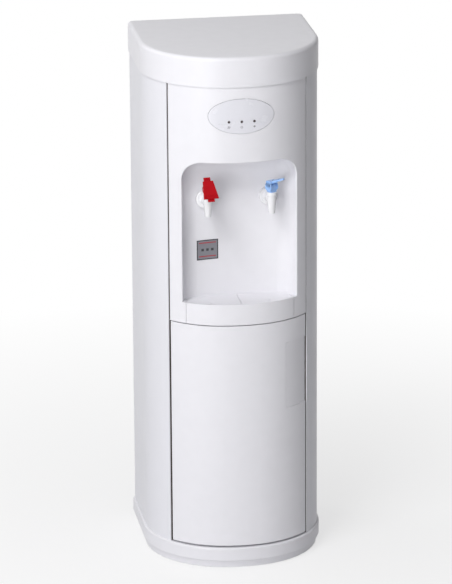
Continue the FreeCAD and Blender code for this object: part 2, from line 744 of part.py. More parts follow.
# ------------------------------------------------------------------ niche-shaped plan
def niche_face(half_w, back, hollow_r, corner_r, z):
    """Plan with a gently hollow back wall, round rear corners and an open front."""
    centre_y = back - hollow_r
    corner_x = half_w - corner_r
    corner_y = centre_y + math.sqrt((hollow_r - corner_r) ** 2 - corner_x ** 2)
    toward = vec(corner_x, corner_y - centre_y).normalize()
    corner = vec(corner_x, corner_y, z)
    side = vec(half_w, corner_y, z)
    middle = corner + (toward + vec(1, 0)).normalize() * corner_r
    blend = vec(0, centre_y, z) + toward * hollow_r
    outlet = vec(half_w, OPEN_FRONT, z)

    def left(point):
        return vec(-point.x, point.y, point.z)

    edges = [
        line(outlet, side),
        arc(side, middle, blend),
        arc(blend, vec(0, back, z), left(blend)),
        arc(left(blend), left(middle), left(side)),
        line(left(side), left(outlet)),
        line(left(outlet), outlet),
    ]
    return Part.Face(Part.Wire(edges))


def niche_solid(grow, z0):
    """The niche's hollow, grown by grow, scooped where its top meets its walls."""
    top = NICHE_TOP + grow
    face = niche_face(NICHE_HALF_W + grow, NICHE_BACK + grow,
                      NICHE_BACK_R + grow, NICHE_CORNER_R + grow, z0)
    block = face.extrude(vec(0, 0, top - z0))

    def on_top(middle, edge):
        return abs(middle.z - top) < 1e-6 and middle.y > OPEN_FRONT + 1e-3

    return block.makeFillet(NICHE_TOP_R + grow, picked_edges(block, on_top))


def tray_plan(grow, z0, z1):
    """The drip tray's plan, grown by grow, as a prism."""
    face = niche_face(TRAY_HALF_W + grow, TRAY_BACK + grow,
                      NICHE_BACK_R + grow, TRAY_CORNER_R + grow, z0)
    return face.extrude(vec(0, 0, z1 - z0))


# ------------------------------------------------------------------ plinth, feet and panels
def make_base_plinth():
    """Two-tier skirt with a deck, ribs and four foot bosses underneath."""
    upper = d_prism(PLINTH_PROUD, PLINTH_STEP_Z, PLINTH_TOP)

    def on_rim(middle, edge):
        return abs(middle.z - PLINTH_TOP) < 1e-6

    upper = upper.makeFillet(PLINTH_EDGE_R, picked_edges(upper, on_rim))
    low_wire = d_face(-PLINTH_TUCK, FOOT_LIFT).OuterWire
    high_wire = d_face(PLINTH_PROUD - PLINTH_STEP_IN, PLINTH_STEP_Z).OuterWire
    lower = Part.makeLoft([low_wire, high_wire], True, True)
    body = fuse(upper, lower)
    under_deck = PLINTH_TOP - PLINTH_DECK
    ledge_high = PLINTH_STEP_Z + PLINTH_LEDGE
    hollow_low = d_prism(-PLINTH_TUCK - PLINTH_WALL, FOOT_LIFT, ledge_high)
    hollow_high = d_prism(PLINTH_PROUD - PLINTH_WALL - PLINTH_LIP, ledge_high, under_deck)
    hollow = fuse(hollow_low, hollow_high)
    body = body.cut(hollow)
    ribs = []
    rib_low = FOOT_LIFT + PLINTH_RIB_UP
    half = PLINTH_RIB / 2
    for share in PLINTH_RIB_SHARES:
        x = share * (BODY_HALF_W - FOOT_REAR_IN)
        y = share * (BACK_Y - FOOT_END_IN)
        ribs.append(box(x - half, x + half, -REACH, REACH, rib_low, under_deck))
        ribs.append(box(-REACH, REACH, y - half, y + half, rib_low, under_deck))
    grid = ribs[0].fuse(ribs[1:]).common(hollow)
    bosses = [rod(FOOT_BOSS_R, under_deck - FOOT_H, vec(x, y, FOOT_H), UP) for x, y in FEET_AT]
    body = fuse(body, grid, *bosses)
    for x, y in FEET_AT:
        body = body.cut(rod(FOOT_STUD_R, FOOT_STUD_H, vec(x, y, FOOT_H), UP))
        body = body.cut(rod(FOOT_R + FOOT_AIR, FOOT_H, vec(x, y, 0), UP))
    return body.cut(rod(HINGE_PIN_R, PLINTH_DECK, hinge_axis() + UP * under_deck, UP))


def make_feet():
    """Four rubber pads on studs, screwed up into the plinth."""
    pads = []
    for x, y in FEET_AT:
        pad = Part.makeCone(FOOT_R, FOOT_R - FOOT_TAPER, FOOT_H, vec(x, y, 0), UP)
        pads.append(fuse(pad, rod(FOOT_STUD_R, FOOT_STUD_H, vec(x, y, FOOT_H), UP)))
    return Part.makeCompound(pads)


def make_side_panel(side):
    """Sheet that wraps one side, folded into the slot and across the back."""
    wall = d_band(0, -SIDE_WALL, PLINTH_TOP, PANEL_TOP)
    wall = wall.common(side_wedge(side, PLINTH_TOP, PANEL_TOP))
    fold = slot_block(side, HALF_SLOT, HALF_SLOT + SIDE_WALL, FOLD_SINK, SIDE_RETURN,
                      PLINTH_TOP, PANEL_TOP)
    return fuse(wall, fold)


def screw_drills():
    """Drills for the panel screws, through the rear folds and the back panel."""
    return [rod(SCREW_R, 2 * PIERCE, vec(x, BACK_Y - PIERCE, z), BACKWARD) for x, z in SCREWS_AT]


def make_back_panel():
    """Pressed sheet with a deep well for the condenser and vents in its floor."""
    half = BODY_HALF_W - REAR_CORNER_R
    sheet = box(-half, half, BACK_FLANGE_Y - BACK_SHEET, BACK_FLANGE_Y, PLINTH_TOP, PANEL_TOP)
    well = box(-BACK_WELL_HALF_W, BACK_WELL_HALF_W, WELL_FRONT, BACK_FLANGE_Y,
               BACK_WELL_LOW, BACK_WELL_HIGH)
    well = well.makeFillet(BACK_WELL_R, picked_edges(
        well, lambda middle, edge: is_upright(edge) and abs(middle.y - WELL_FRONT) < 1e-6))
    inner = box(-BACK_WELL_HALF_W + BACK_SHEET, BACK_WELL_HALF_W - BACK_SHEET,
                WELL_FACE, BACK_FLANGE_Y + PIERCE,
                BACK_WELL_LOW + BACK_SHEET, BACK_WELL_HIGH - BACK_SHEET)
    inner = inner.makeFillet(BACK_WELL_R - BACK_SHEET, picked_edges(
        inner, lambda middle, edge: is_upright(edge) and abs(middle.y - WELL_FACE) < 1e-6))
    panel = fuse(sheet, well).cut(inner)
    front = WELL_FRONT - PIERCE
    holes = []
    for row in range(VENT_COUNT):
        z = VENT_LOW + row * VENT_PITCH
        for x in (-VENT_X, VENT_X):
            holes.append(box(x - VENT_W / 2, x + VENT_W / 2, front, WELL_FACE, z, z + VENT_H))
    drills = [(GLAND_R - GLAND_LIP, GLAND_X, GLAND_Z)]
    drills.append((SPIGOT_R - SPIGOT_TAIL_IN, DRAIN_CAP_X, DRAIN_CAP_Z))
    drills.append((COIL_TUBE_R, COIL_LEAD_X, COIL_LOW))
    drills.append((COIL_TUBE_R, COIL_OUT_X, COIL_HIGH))
    holes += [rod(r, PIERCE + BACK_SHEET, vec(x, front, z), BACKWARD) for r, x, z in drills]
    half_w = SWITCH_HALF_W - SWITCH_LIP
    half_h = SWITCH_HALF_H - SWITCH_LIP
    holes.append(box(SWITCH_X - half_w, SWITCH_X + half_w, front, WELL_FACE,
                     SWITCH_Z - half_h, SWITCH_Z + half_h))
    return panel.cut(holes + screw_drills())


def make_panel_screws():
    """Pan-head screws through the side panels' rear folds."""
    screws = []
    for x, z in SCREWS_AT:
        head = Part.makeCone(SCREW_HEAD_R, SCREW_HEAD_TOP_R, SCREW_HEAD_T, vec(x, BACK_Y, z),
                             BACKWARD)
        shank = rod(SCREW_R, SCREW_L, vec(x, BACK_Y - SCREW_L, z), BACKWARD)
        screws.append(fuse(head, shank))
    return Part.makeCompound(screws)


def make_top_cap():
    """Moulded lid with a rounded top edge and a skirt over the panels."""
    body = d_prism(CAP_PROUD, CAP_BOTTOM, HEIGHT)

    def on_top(middle, edge):
        return abs(middle.z - HEIGHT) < 1e-6

    body = body.makeFillet(CAP_EDGE_R, picked_edges(body, on_top))
    seat = d_prism(CAP_CLEARANCE, CAP_BOTTOM, PANEL_TOP)
    hollow = d_prism(CAP_PROUD - CAP_WALL - CAP_SHOULDER, PANEL_TOP, HEIGHT - CAP_WALL)

    def hollow_top(middle, edge):
        return abs(middle.z - HEIGHT + CAP_WALL) < 1e-6

    hollow = hollow.makeFillet(CAP_EDGE_R - CAP_WALL, picked_edges(hollow, hollow_top))
    return body.cut([seat, hollow])


# ------------------------------------------------------------------ fascia, badge and lamps
def oval_prism(half_w, half_h, centre_z, y0, y1):
    """An upright oval, run along Y."""
    ellipse = Part.Ellipse(vec(0, 0), half_w, half_h).toShape()
    face = Part.Face(Part.Wire(ellipse))
    face.rotate(vec(0, 0), RIGHTWARD, 90)
    face.translate(vec(0, y0, centre_z))
    return face.extrude(vec(0, y1 - y0, 0))


def slot_prism(half_w, half_h, centre_z, y0, y1):
    """A round-ended slot, run along Y."""
    straight = half_w - half_h
    body = box(-straight, straight, y0, y1, centre_z - half_h, centre_z + half_h)
    left_end = rod(half_h, y1 - y0, vec(-straight, y0, centre_z), BACKWARD)
    right_end = rod(half_h, y1 - y0, vec(straight, y0, centre_z), BACKWARD)
    return fuse(body, left_end, right_end)


def badge_oval(grow):
    """The badge's oval, grown by grow, run from ahead of the bow to the niche's back."""
    return oval_prism(BADGE_HALF_W + grow, BADGE_HALF_H + grow, BADGE_Z,
                      FRONT_Y - PIERCE, NICHE_BACK)


def make_upper_fascia():
    """Front moulding with the scooped niche, the badge opening and the tray's mouth."""
    skin = d_band(0, -FRONT_WALL, FASCIA_LOW, PANEL_TOP)
    skin = skin.common(front_wedge(HALF_SLOT, FASCIA_LOW, PANEL_TOP))
    ends = [slot_block(side, -HALF_SLOT - FRONT_WALL, -HALF_SLOT, FOLD_SINK, FASCIA_RETURN,
                       FASCIA_LOW, PANEL_TOP) for side in (-1, 1)]
    pocket = niche_solid(NICHE_WALL, NICHE_FLOOR - NICHE_WALL)
    pocket = pocket.common(d_prism(-NICHE_SKIN, NICHE_FLOOR - NICHE_WALL, PANEL_TOP))
    body = fuse(skin, pocket, *ends)
    body = body.cut(niche_solid(0, NICHE_FLOOR))
    pads = [rod(TAP_PAD_R, TAP_PAD_BACK - TAP_PAD_Y, vec(x, TAP_PAD_Y, TAP_Z), BACKWARD)
            for x in (-TAP_X, TAP_X)]
    body = fuse(body, *pads)
    faces = [rod(TAP_PAD_R, TAP_REACH, vec(x, TAP_PAD_Y - TAP_REACH, TAP_Z), BACKWARD)
             for x in (-TAP_X, TAP_X)]
    body = body.cut(faces)
    body = body.cut(tray_plan(TRAY_CLEARANCE, FASCIA_LOW - PIERCE, NICHE_FLOOR + PIERCE))

    def on_mouth(middle, edge):
        if not NICHE_FLOOR + NICHE_RIM_R < middle.z < NICHE_TOP + NICHE_RIM_R:
            return False
        halfway = edge.valueAt((edge.FirstParameter + edge.LastParameter) / 2)
        on_bow = abs(halfway.y - front_y(halfway.x)) < 1e-3
        return on_bow and abs(halfway.x) < NICHE_HALF_W + NICHE_WALL

    body = body.makeFillet(NICHE_RIM_R, picked_edges(body, on_mouth))
    tail_holes = [rod(TAIL_R + TAIL_AIR, 2 * PIERCE, vec(x, TAP_PAD_Y - PIERCE, TAP_Z), BACKWARD)
                  for x in (-TAP_X, TAP_X)]
    return body.cut(tail_holes + [badge_oval(BADGE_SEAM)])


def make_indicator_badge():
    """Oval cover with a sunk strip for the lamps and posts for the circuit board."""
    lip_half_h = BADGE_HALF_H + BADGE_LIP
    plate = d_band(BADGE_PROUD, -FRONT_WALL, BADGE_Z - BADGE_HALF_H, BADGE_Z + BADGE_HALF_H)
    plate = plate.common(badge_oval(0))
    lip = d_band(-FRONT_WALL, -FRONT_WALL - BADGE_LIP_T, BADGE_Z - lip_half_h, BADGE_Z + lip_half_h)
    lip = lip.common(badge_oval(BADGE_LIP))
    strip = d_band(PIERCE, BADGE_PROUD - STRIP_SINK, STRIP_Z - STRIP_HALF_H, STRIP_Z + STRIP_HALF_H)
    strip = strip.common(slot_prism(STRIP_HALF_W, STRIP_HALF_H, STRIP_Z,
                                    FRONT_Y - PIERCE, NICHE_BACK))
    posts = []
    for x in (-BOARD_POST_X, BOARD_POST_X):
        root = front_y(x) + FRONT_WALL / 2
        posts.append(rod(BOARD_POST_R, BOARD_Y - root, vec(x, root, STRIP_Z), BACKWARD))
    badge = fuse(plate, lip, *posts).cut(strip)
    holes = [rod(LAMP_R, 2 * PIERCE, vec(x, FRONT_Y - PIERCE, STRIP_Z), BACKWARD) for x in LAMP_XS]
    return badge.cut(holes)


def make_lamp(x):
    """A domed lens whose stem reaches back to the circuit board."""
    tip_y = front_y(x) - LAMP_PROUD
    stem = rod(LAMP_R, BOARD_Y - tip_y, vec(x, tip_y, STRIP_Z), BACKWARD)

    def on_tip(middle, edge):
        return abs(middle.y - tip_y) < 1e-6

    return stem.makeFillet(LAMP_DOME, picked_edges(stem, on_tip))


def make_control_board():
    """Circuit board behind the badge, with the parts that its back carries."""
    low = STRIP_Z - BOARD_DROP
    back = BOARD_Y + BOARD_T
    left = -BOARD_HALF_W + BOARD_MARGIN
    right = BOARD_HALF_W - BOARD_MARGIN
    foot = low + BOARD_H / 6
    board = box(-BOARD_HALF_W, BOARD_HALF_W, BOARD_Y, back, low, low + BOARD_H)
    relay = box(left, left + RELAY_W, back, back + RELAY_D, foot, foot + RELAY_H)
    socket = box(right - SOCKET_W, right, back, back + SOCKET_D, foot, foot + SOCKET_H)
    capacitor = rod(CAPACITOR_R, CAPACITOR_L, vec(0, back, low + BOARD_H / 2), BACKWARD)
    return fuse(board, relay, socket, capacitor)


# ------------------------------------------------------------------ shelf and bottle bay
def make_divider_shelf(neighbours):
    """Steel shelf that carries the machinery, the tray's guides and the top hinge pin."""
    plate = d_prism(-SIDE_WALL, SHELF_LOW, SHELF_HIGH)
    plate = plate.common(box(-REACH, REACH, -REACH, WELL_FRONT, SHELF_LOW, SHELF_HIGH))
    front_air = d_band(PIERCE, -FRONT_WALL - SHELF_FRONT_AIR, SHELF_LOW, SHELF_HIGH)
    plate = plate.cut(front_air.common(front_wedge(0, SHELF_LOW, SHELF_HIGH)))
    plate = plate.cut(neighbours)
    holes = [rod(HINGE_PIN_R, 2 * PIERCE, hinge_axis() + UP * (SHELF_LOW - PIERCE), UP)]
    holes.append(rod(TUBE_R, 2 * PIERCE, vec(PUMP_X, FEED_Y, SHELF_LOW - PIERCE), UP))
    plate = max(plate.cut(holes).Solids, key=lambda solid: solid.Volume)
    near = TRAY_HALF_W + TRAY_CLEARANCE
    start = front_y(near + GUIDE_T, -FRONT_WALL - SHELF_FRONT_AIR)
    right = box(near, near + GUIDE_T, start, TRAY_BACK, SHELF_LOW, SHELF_HIGH + GUIDE_H)
    left = box(-near - GUIDE_T, -near, start, TRAY_BACK, SHELF_LOW, SHELF_HIGH + GUIDE_H)
    return fuse(plate, left, right)


def bay_mouth_y():
    """Where the liner's side walls turn in towards the slot folds."""
    return slot_point(1, HALF_SLOT, SIDE_RETURN)[1] + BAY_MOUTH_RUN


def bay_wall_points(grow):
    """Corner points of the liner's wall, right half, from mouth to back."""
    mouth = slot_point(1, HALF_SLOT + grow, SIDE_RETURN)
    return [mouth, (BAY_HALF_W + grow, bay_mouth_y()), (BAY_HALF_W + grow, BAY_BACK + grow)]


def bay_outline(grow, z0, z1):
    """The bay's plan as a prism with rounded rear corners."""
    right = bay_wall_points(grow)
    left = [(-x, y) for x, y in reversed(right)]
    block = prism(right + left, z0, z1)

    def rear_corner(middle, edge):
        return abs(middle.y - BAY_BACK - grow) < 1e-6 and abs(middle.z - (z0 + z1) / 2) < 1e-6

    return block.makeFillet(BAY_CORNER_R + grow, picked_edges(block, rear_corner))


def make_bay_liner():
    """Smooth lining round the bottle, open to the front, with the pump line's hole."""
    shell = bay_outline(BAY_WALL, BAY_FLOOR_TOP, SHELF_LOW)
    shell = shell.cut(bay_outline(0, BAY_FLOOR_TOP, SHELF_LOW))
    return shell.cut(rod(TUBE_R, 2 * PIERCE, vec(BAY_HALF_W - PIERCE, PROBE_Y, INLET_Z), RIGHTWARD))


def bay_floor_plan(z0, z1):
    """The floor's plan: the liner's outline and a nose between the slots."""
    nose = d_prism(-DOOR_DEPTH - BAY_DOOR_AIR, z0, z1)
    half_w = SLOT_X - NOSE_IN
    nose = nose.common(box(-half_w, half_w, -REACH, bay_mouth_y() + FOLD_SINK, z0, z1))
    return fuse(bay_outline(BAY_WALL, z0, z1), nose)


def make_bay_floor():
    """Moulded floor with a raised pad under the bottle and a curb that centres it."""
    plate = bay_floor_plan(PLINTH_TOP, BAY_FLOOR_TOP)
    pad_high = BAY_FLOOR_TOP + BOTTLE_PAD_T
    pad = rod(BOTTLE_PAD_R, BOTTLE_PAD_T, vec(0, STOP_RING_Y, BAY_FLOOR_TOP), UP)
    pad = pad.common(bay_floor_plan(BAY_FLOOR_TOP, pad_high))
    high = BAY_FLOOR_TOP + STOP_RING_H
    ring = pipe(STOP_RING_R, STOP_RING_R - STOP_RING_W, STOP_RING_H,
                vec(0, STOP_RING_Y, BAY_FLOOR_TOP), UP)

    def top_rim(middle, edge):
        return abs(middle.z - high) < 1e-6

    ring = ring.makeFillet(STOP_RING_EDGE_R, picked_edges(ring, top_rim))
    rear_half = box(-REACH, REACH, STOP_RING_Y, REACH, BAY_FLOOR_TOP, high)
    return fuse(plate, pad, ring.common(rear_half))


def make_edge_trims():
    """Dark strips that line both slots from plinth to cap."""
    trims = [slot_block(side, HALF_SLOT - TRIM_T, HALF_SLOT, TRIM_FROM, TRIM_TO,
                        PLINTH_TOP, PANEL_TOP) for side in (-1, 1)]
    return Part.makeCompound(trims)


def make_door_catch():
    """Magnet in a holder under the shelf, behind the door's free side."""
    strike_back = front_y(STRIKE_X + MAGNET_W / 2, -DOOR_DEPTH + LINER_SINK - STRIKE_T)
    magnet_y = strike_back + CATCH_AIR
    holder_y = magnet_y + MAGNET_D
    low = SHELF_LOW - CATCH_H
    holder = box(STRIKE_X - CATCH_W / 2, STRIKE_X + CATCH_W / 2, holder_y, holder_y + CATCH_D,
                 low, SHELF_LOW)
    magnet = box(STRIKE_X - MAGNET_W / 2, STRIKE_X + MAGNET_W / 2, magnet_y, holder_y,
                 low + MAGNET_RISE, low + MAGNET_RISE + MAGNET_H)
    return fuse(holder, magnet)


# ------------------------------------------------------------------ door
def hinge_axis():
    x, y = slot_point(-1, PIVOT_T, PIVOT_N)
    return vec(x, y, 0)


def door_ring(n0, n1, z0, z1, end_inset=0.0):
    """Part of the door between two depths below its surface."""
    band = d_band(-n0, -n1, z0, z1)
    return band.common(front_wedge(HALF_SLOT + end_inset, z0, z1))


def grip_zone(n0, n1, spread):
    """The grip's curved slab between two depths, leant in towards the slot."""
    slab = d_band(-n0, -n1, GRIP_Z0 - spread, GRIP_Z1 + spread)
    window = box(GRIP_LEFT - spread, SLOT_X + PIERCE, -REACH, SHOULDER_CY,
                 GRIP_Z0 - spread, GRIP_Z1 + spread)
    slab = slab.common(window)
    slab.rotate(vec(GRIP_LEFT, front_y(GRIP_LEFT), 0), UP, GRIP_LEAN_DEG)
    return slab


def make_door_panel():
    """Bowed door pan with end walls, rims, stiffening ribs and hinge bosses."""
    skin = door_ring(0, FRONT_WALL, DOOR_LOW, DOOR_TOP)
    hull = door_ring(0, DOOR_DEPTH, DOOR_LOW, DOOR_TOP)
    ends = [slot_block(side, -HALF_SLOT - DOOR_END_WALL, -HALF_SLOT, -FOLD_SINK, DOOR_DEPTH,
                       DOOR_LOW, DOOR_TOP).common(hull) for side in (-1, 1)]
    rims = [door_ring(0, DOOR_DEPTH, DOOR_LOW, DOOR_LOW + DOOR_RIM)]
    rims.append(door_ring(0, DOOR_DEPTH, DOOR_TOP - DOOR_RIM, DOOR_TOP))
    liner_front = DOOR_DEPTH - DOOR_LINER - LINER_SINK
    gap = (DOOR_TOP - DOOR_LOW) / (DOOR_RIB_COUNT + 1)
    ribs = []
    for index in range(DOOR_RIB_COUNT):
        z = DOOR_LOW + gap * (index + 1)
        ribs.append(door_ring(FRONT_WALL / 2, liner_front, z - DOOR_RIB / 2, z + DOOR_RIB / 2))
    foot = hinge_axis() + UP * DOOR_LOW
    head = hinge_axis() + UP * (DOOR_TOP - HINGE_BOSS_H)
    bosses = [rod(HINGE_BOSS_R, HINGE_BOSS_H, base, UP) for base in (foot, head)]
    whole = fuse(skin, *(ends + rims + ribs + bosses))
    corners = [slot_point(side, -HALF_SLOT, 0) for side in (-1, 1)]

    def at_outer_corner(middle, edge):
        near = any(math.hypot(middle.x - x, middle.y - y) < DOOR_EDGE_R / 2 for x, y in corners)
        return near and is_upright(edge)

    whole = whole.makeFillet(DOOR_EDGE_R, picked_edges(whole, at_outer_corner))
    backing = grip_zone(GRIP_T, GRIP_T + GRIP_BACKING, GRIP_BORDER)
    backing = backing.common(door_ring(FOLD_SINK, DOOR_DEPTH, DOOR_LOW, DOOR_TOP))
    whole = fuse(whole, backing)
    whole = whole.cut(grip_zone(-GRIP_BORDER, GRIP_T, GRIP_SEAM))
    return whole.cut([rod(HINGE_BUSH_R, HINGE_BOSS_H, base, UP) for base in (foot, head)])


def make_door_grip():
    """Pull plate that lies in the door and leans in towards the slot."""
    plate = grip_zone(0, GRIP_T, 0)
    return plate.common(front_wedge(HALF_SLOT, GRIP_Z0, GRIP_Z1))


def make_door_liner(strike_hole):
    """Flat-backed inner cover of the door."""
    back = DOOR_DEPTH - LINER_SINK
    cover = door_ring(back - DOOR_LINER, back, DOOR_LOW + DOOR_RIM, DOOR_TOP - DOOR_RIM,
                      DOOR_END_WALL)
    return cover.cut(strike_hole)


def make_door_strike():
    """Steel plate that the catch's magnet pulls on."""
    front = DOOR_DEPTH - LINER_SINK
    high = DOOR_TOP - DOOR_RIM
    zone = box(STRIKE_X - STRIKE_W / 2, STRIKE_X + STRIKE_W / 2, -REACH, SHOULDER_CY,
               high - STRIKE_H, high)
    return d_band(-front, -front - STRIKE_T, high - STRIKE_H, high).common(zone)


def make_hinge_bushes():
    """Two plain bushes pressed into the door's bosses."""
    axis = hinge_axis()
    bore = HINGE_PIN_R + HINGE_RUN
    low = pipe(HINGE_BUSH_R, bore, HINGE_BOSS_H, axis + UP * DOOR_LOW, UP)
    high = pipe(HINGE_BUSH_R, bore, HINGE_BOSS_H, axis + UP * (DOOR_TOP - HINGE_BOSS_H), UP)
    return Part.makeCompound([low, high])


def make_hinge_pins():
    """Lower pin in the plinth's deck and upper pin in the shelf."""
    axis = hinge_axis()
    under_deck = PLINTH_TOP - PLINTH_DECK
    low = rod(HINGE_PIN_R, DOOR_LOW + HINGE_PIN_REACH - under_deck, axis + UP * under_deck, UP)
    collar = rod(HINGE_BUSH_R + COLLAR_LIP, DOOR_GAP - COLLAR_AIR, axis + UP * PLINTH_TOP, UP)
    base = DOOR_TOP - HINGE_PIN_REACH
    high = rod(HINGE_PIN_R, SHELF_HIGH - base, axis + UP * base, UP)
    return Part.makeCompound([fuse(low, collar), high])


# ------------------------------------------------------------------ drip tray
def make_drip_tray():
    """Basin whose front wall is a piece of the fascia's bow."""
    basin = tray_plan(0, SHELF_HIGH + TRAY_AIR, NICHE_FLOOR)
    basin = basin.common(d_prism(0, FASCIA_LOW, NICHE_FLOOR))
    lip = bow_wall(TRAY_HALF_W, 0, -FRONT_WALL, TRAY_BACK, FASCIA_LOW, NICHE_FLOOR)
    body = fuse(basin, lip)
    cover_low = NICHE_FLOOR - COVER_BELOW_LIP - COVER_T
    inner = tray_plan(-TRAY_WALL - COVER_LEDGE, SHELF_HIGH + TRAY_AIR + TRAY_FLOOR, cover_low)
    inner = inner.common(d_prism(-FRONT_WALL - COVER_LEDGE, FASCIA_LOW, cover_low))
    seat = tray_plan(-TRAY_WALL, cover_low, NICHE_FLOOR + PIERCE)
    seat = seat.common(d_prism(-FRONT_WALL, cover_low, NICHE_FLOOR + PIERCE))
    return body.cut([inner, seat])


def make_tray_cover(side):
    """Half of the tray's cover, dished to a drain hole under its tap."""
    top = NICHE_FLOOR - COVER_BELOW_LIP
    low = top - COVER_T
    plate = tray_plan(-TRAY_WALL - COVER_FIT, low, top)
    plate = plate.common(d_prism(-FRONT_WALL - COVER_FIT, low, top))
    near = side * COVER_SPLIT / 2
    far = side * REACH
    plate = plate.common(box(min(near, far), max(near, far), -REACH, 0, low, top))
    centre = vec(side * DRAIN_X, DRAIN_Y, 0)
    dish = Part.makeCone(DRAIN_HOLE_R, DRAIN_DISH_R, DRAIN_DISH, centre + UP * (top - DRAIN_DISH), UP)
    drain = rod(DRAIN_HOLE_R, 2 * PIERCE, centre + UP * (low - PIERCE), UP)
    return plate.cut([dish, drain])


# ------------------------------------------------------------------ taps
def make_tap_body(x):
    """Flange, threaded tail, arm, barrel and spout, bored through."""
    flange_back = TAP_PAD_Y - GASKET_T
    flange_front = flange_back - FLANGE_T
    flange = rod(FLANGE_R, FLANGE_T, vec(x, flange_front, TAP_Z), BACKWARD)

    def front_rim(middle, edge):
        return abs(middle.y - flange_front) < 1e-6

    flange = flange.makeFillet(FLANGE_EDGE_R, picked_edges(flange, front_rim))
    tail = rod(TAIL_R, TAIL_END - flange_back, vec(x, flange_back, TAP_Z), BACKWARD)
    arm = rod(ARM_R, flange_front - SPOUT_Y, vec(x, SPOUT_Y, TAP_Z), BACKWARD)
    barrel = rod(BARREL_R, BARREL_HIGH - BARREL_LOW, vec(x, SPOUT_Y, BARREL_LOW), UP)
    spout = Part.makeCone(SPOUT_R, BARREL_R, SPOUT_H, vec(x, SPOUT_Y, SPOUT_LOW), UP)

    def barrel_rim(middle, edge):
        return abs(middle.z - BARREL_HIGH) < 1e-6

    barrel = barrel.makeFillet(BARREL_EDGE_R, picked_edges(barrel, barrel_rim))
    body = fuse(flange, tail, arm, barrel, spout)
    foot = vec(x, SPOUT_Y, SPOUT_LOW - PIERCE)
    bores = [rod(SPOUT_BORE_R, SEAT_Z - SPOUT_LOW + PIERCE, foot, UP)]
    bores.append(rod(CHAMBER_R, BARREL_HIGH - SEAT_Z + PIERCE, vec(x, SPOUT_Y, SEAT_Z), UP))
    bores.append(rod(TAIL_BORE_R, TAIL_END - SPOUT_Y + PIERCE, vec(x, SPOUT_Y, TAP_Z), BACKWARD))
    return body.cut(bores)


def make_tap_gaskets():
    """Soft rings between the taps' flanges and the niche's pads."""
    rings = [pipe(FLANGE_R - GASKET_IN, TAIL_R, GASKET_T, vec(x, TAP_PAD_Y - GASKET_T, TAP_Z),
                  BACKWARD) for x in (-TAP_X, TAP_X)]
    return Part.makeCompound(rings)


def make_tap_nuts():
    """Hexagon nuts behind the niche's wall."""
    nuts = []
    corner = NUT_AF / math.sqrt(3.0)
    for x in (-TAP_X, TAP_X):
        points = []
        for index in range(NUT_SIDES):
            angle = 2 * math.pi * index / NUT_SIDES
            points.append(vec(x + corner * math.cos(angle), TAP_PAD_BACK,
                              TAP_Z + corner * math.sin(angle)))
        hexagon = Part.Face(Part.makePolygon(points + points[:1]))
        nut = hexagon.extrude(vec(0, NUT_T, 0))
        nuts.append(nut.cut(rod(TAIL_R, NUT_T, vec(x, TAP_PAD_BACK, TAP_Z), BACKWARD)))
    return Part.makeCompound(nuts)


def at_tap(shape, x, turn):
    """Move a piece built at the origin, lever along -Y, onto a tap's stem."""
    shape.rotate(vec(0, 0), UP, turn)
    shape.translate(vec(x, SPOUT_Y, 0))
    return shape


def make_bonnet(x, turn):
    """Plug that closes the barrel and carries the lever on two trunnions."""
    post = box(-BONNET_HALF_W, BONNET_HALF_W, -BONNET_R, BONNET_R, BARREL_HIGH, PIVOT_Z)
    crown = rod(BONNET_R, 2 * BONNET_HALF_W, vec(-BONNET_HALF_W, 0, PIVOT_Z), RIGHTWARD)
    skirt_low = BARREL_HIGH - BONNET_SKIRT_H
    skirt = rod(CHAMBER_R, BONNET_SKIRT_H, vec(0, 0, skirt_low), UP)
    reach = BONNET_HALF_W + EAR_GAP + EAR_T
    pins = rod(TRUNNION_R, 2 * reach, vec(-reach, 0, PIVOT_Z), RIGHTWARD)
    body = fuse(post, crown, skirt, pins)
    bore_high = PIVOT_Z - TRUNNION_R - STEM_BORE_LEFT
    bore = rod(STEM_R + STEM_RUN, bore_high - skirt_low, vec(0, 0, skirt_low), UP)
    return at_tap(body.cut(bore), x, turn)


def make_stem(x):
    """Valve stem with its seal resting on the seat."""
    seal = rod(STEM_SEAL_R, STEM_SEAL_T, vec(0, 0, SEAT_Z), UP)
    shank = rod(STEM_R, PIVOT_Z - STEM_TOP_BELOW - TRUNNION_R - SEAT_Z, vec(0, 0, SEAT_Z), UP)
    return at_tap(fuse(seal, shank), x, 0)


def lever_ears(rise):
    """Two round cheeks on the trunnions, with webs that run up by rise."""
    ears = []
    for side in (-1, 1):
        near = BONNET_HALF_W + EAR_GAP
        x0 = near if side > 0 else -near - EAR_T
        disc = rod(EAR_R, EAR_T, vec(x0, 0, PIVOT_Z), RIGHTWARD)
        web = box(x0, x0 + EAR_T, -EAR_R, EAR_R, PIVOT_Z, PIVOT_Z + rise)
        ears.append(disc.fuse(web))
    return ears


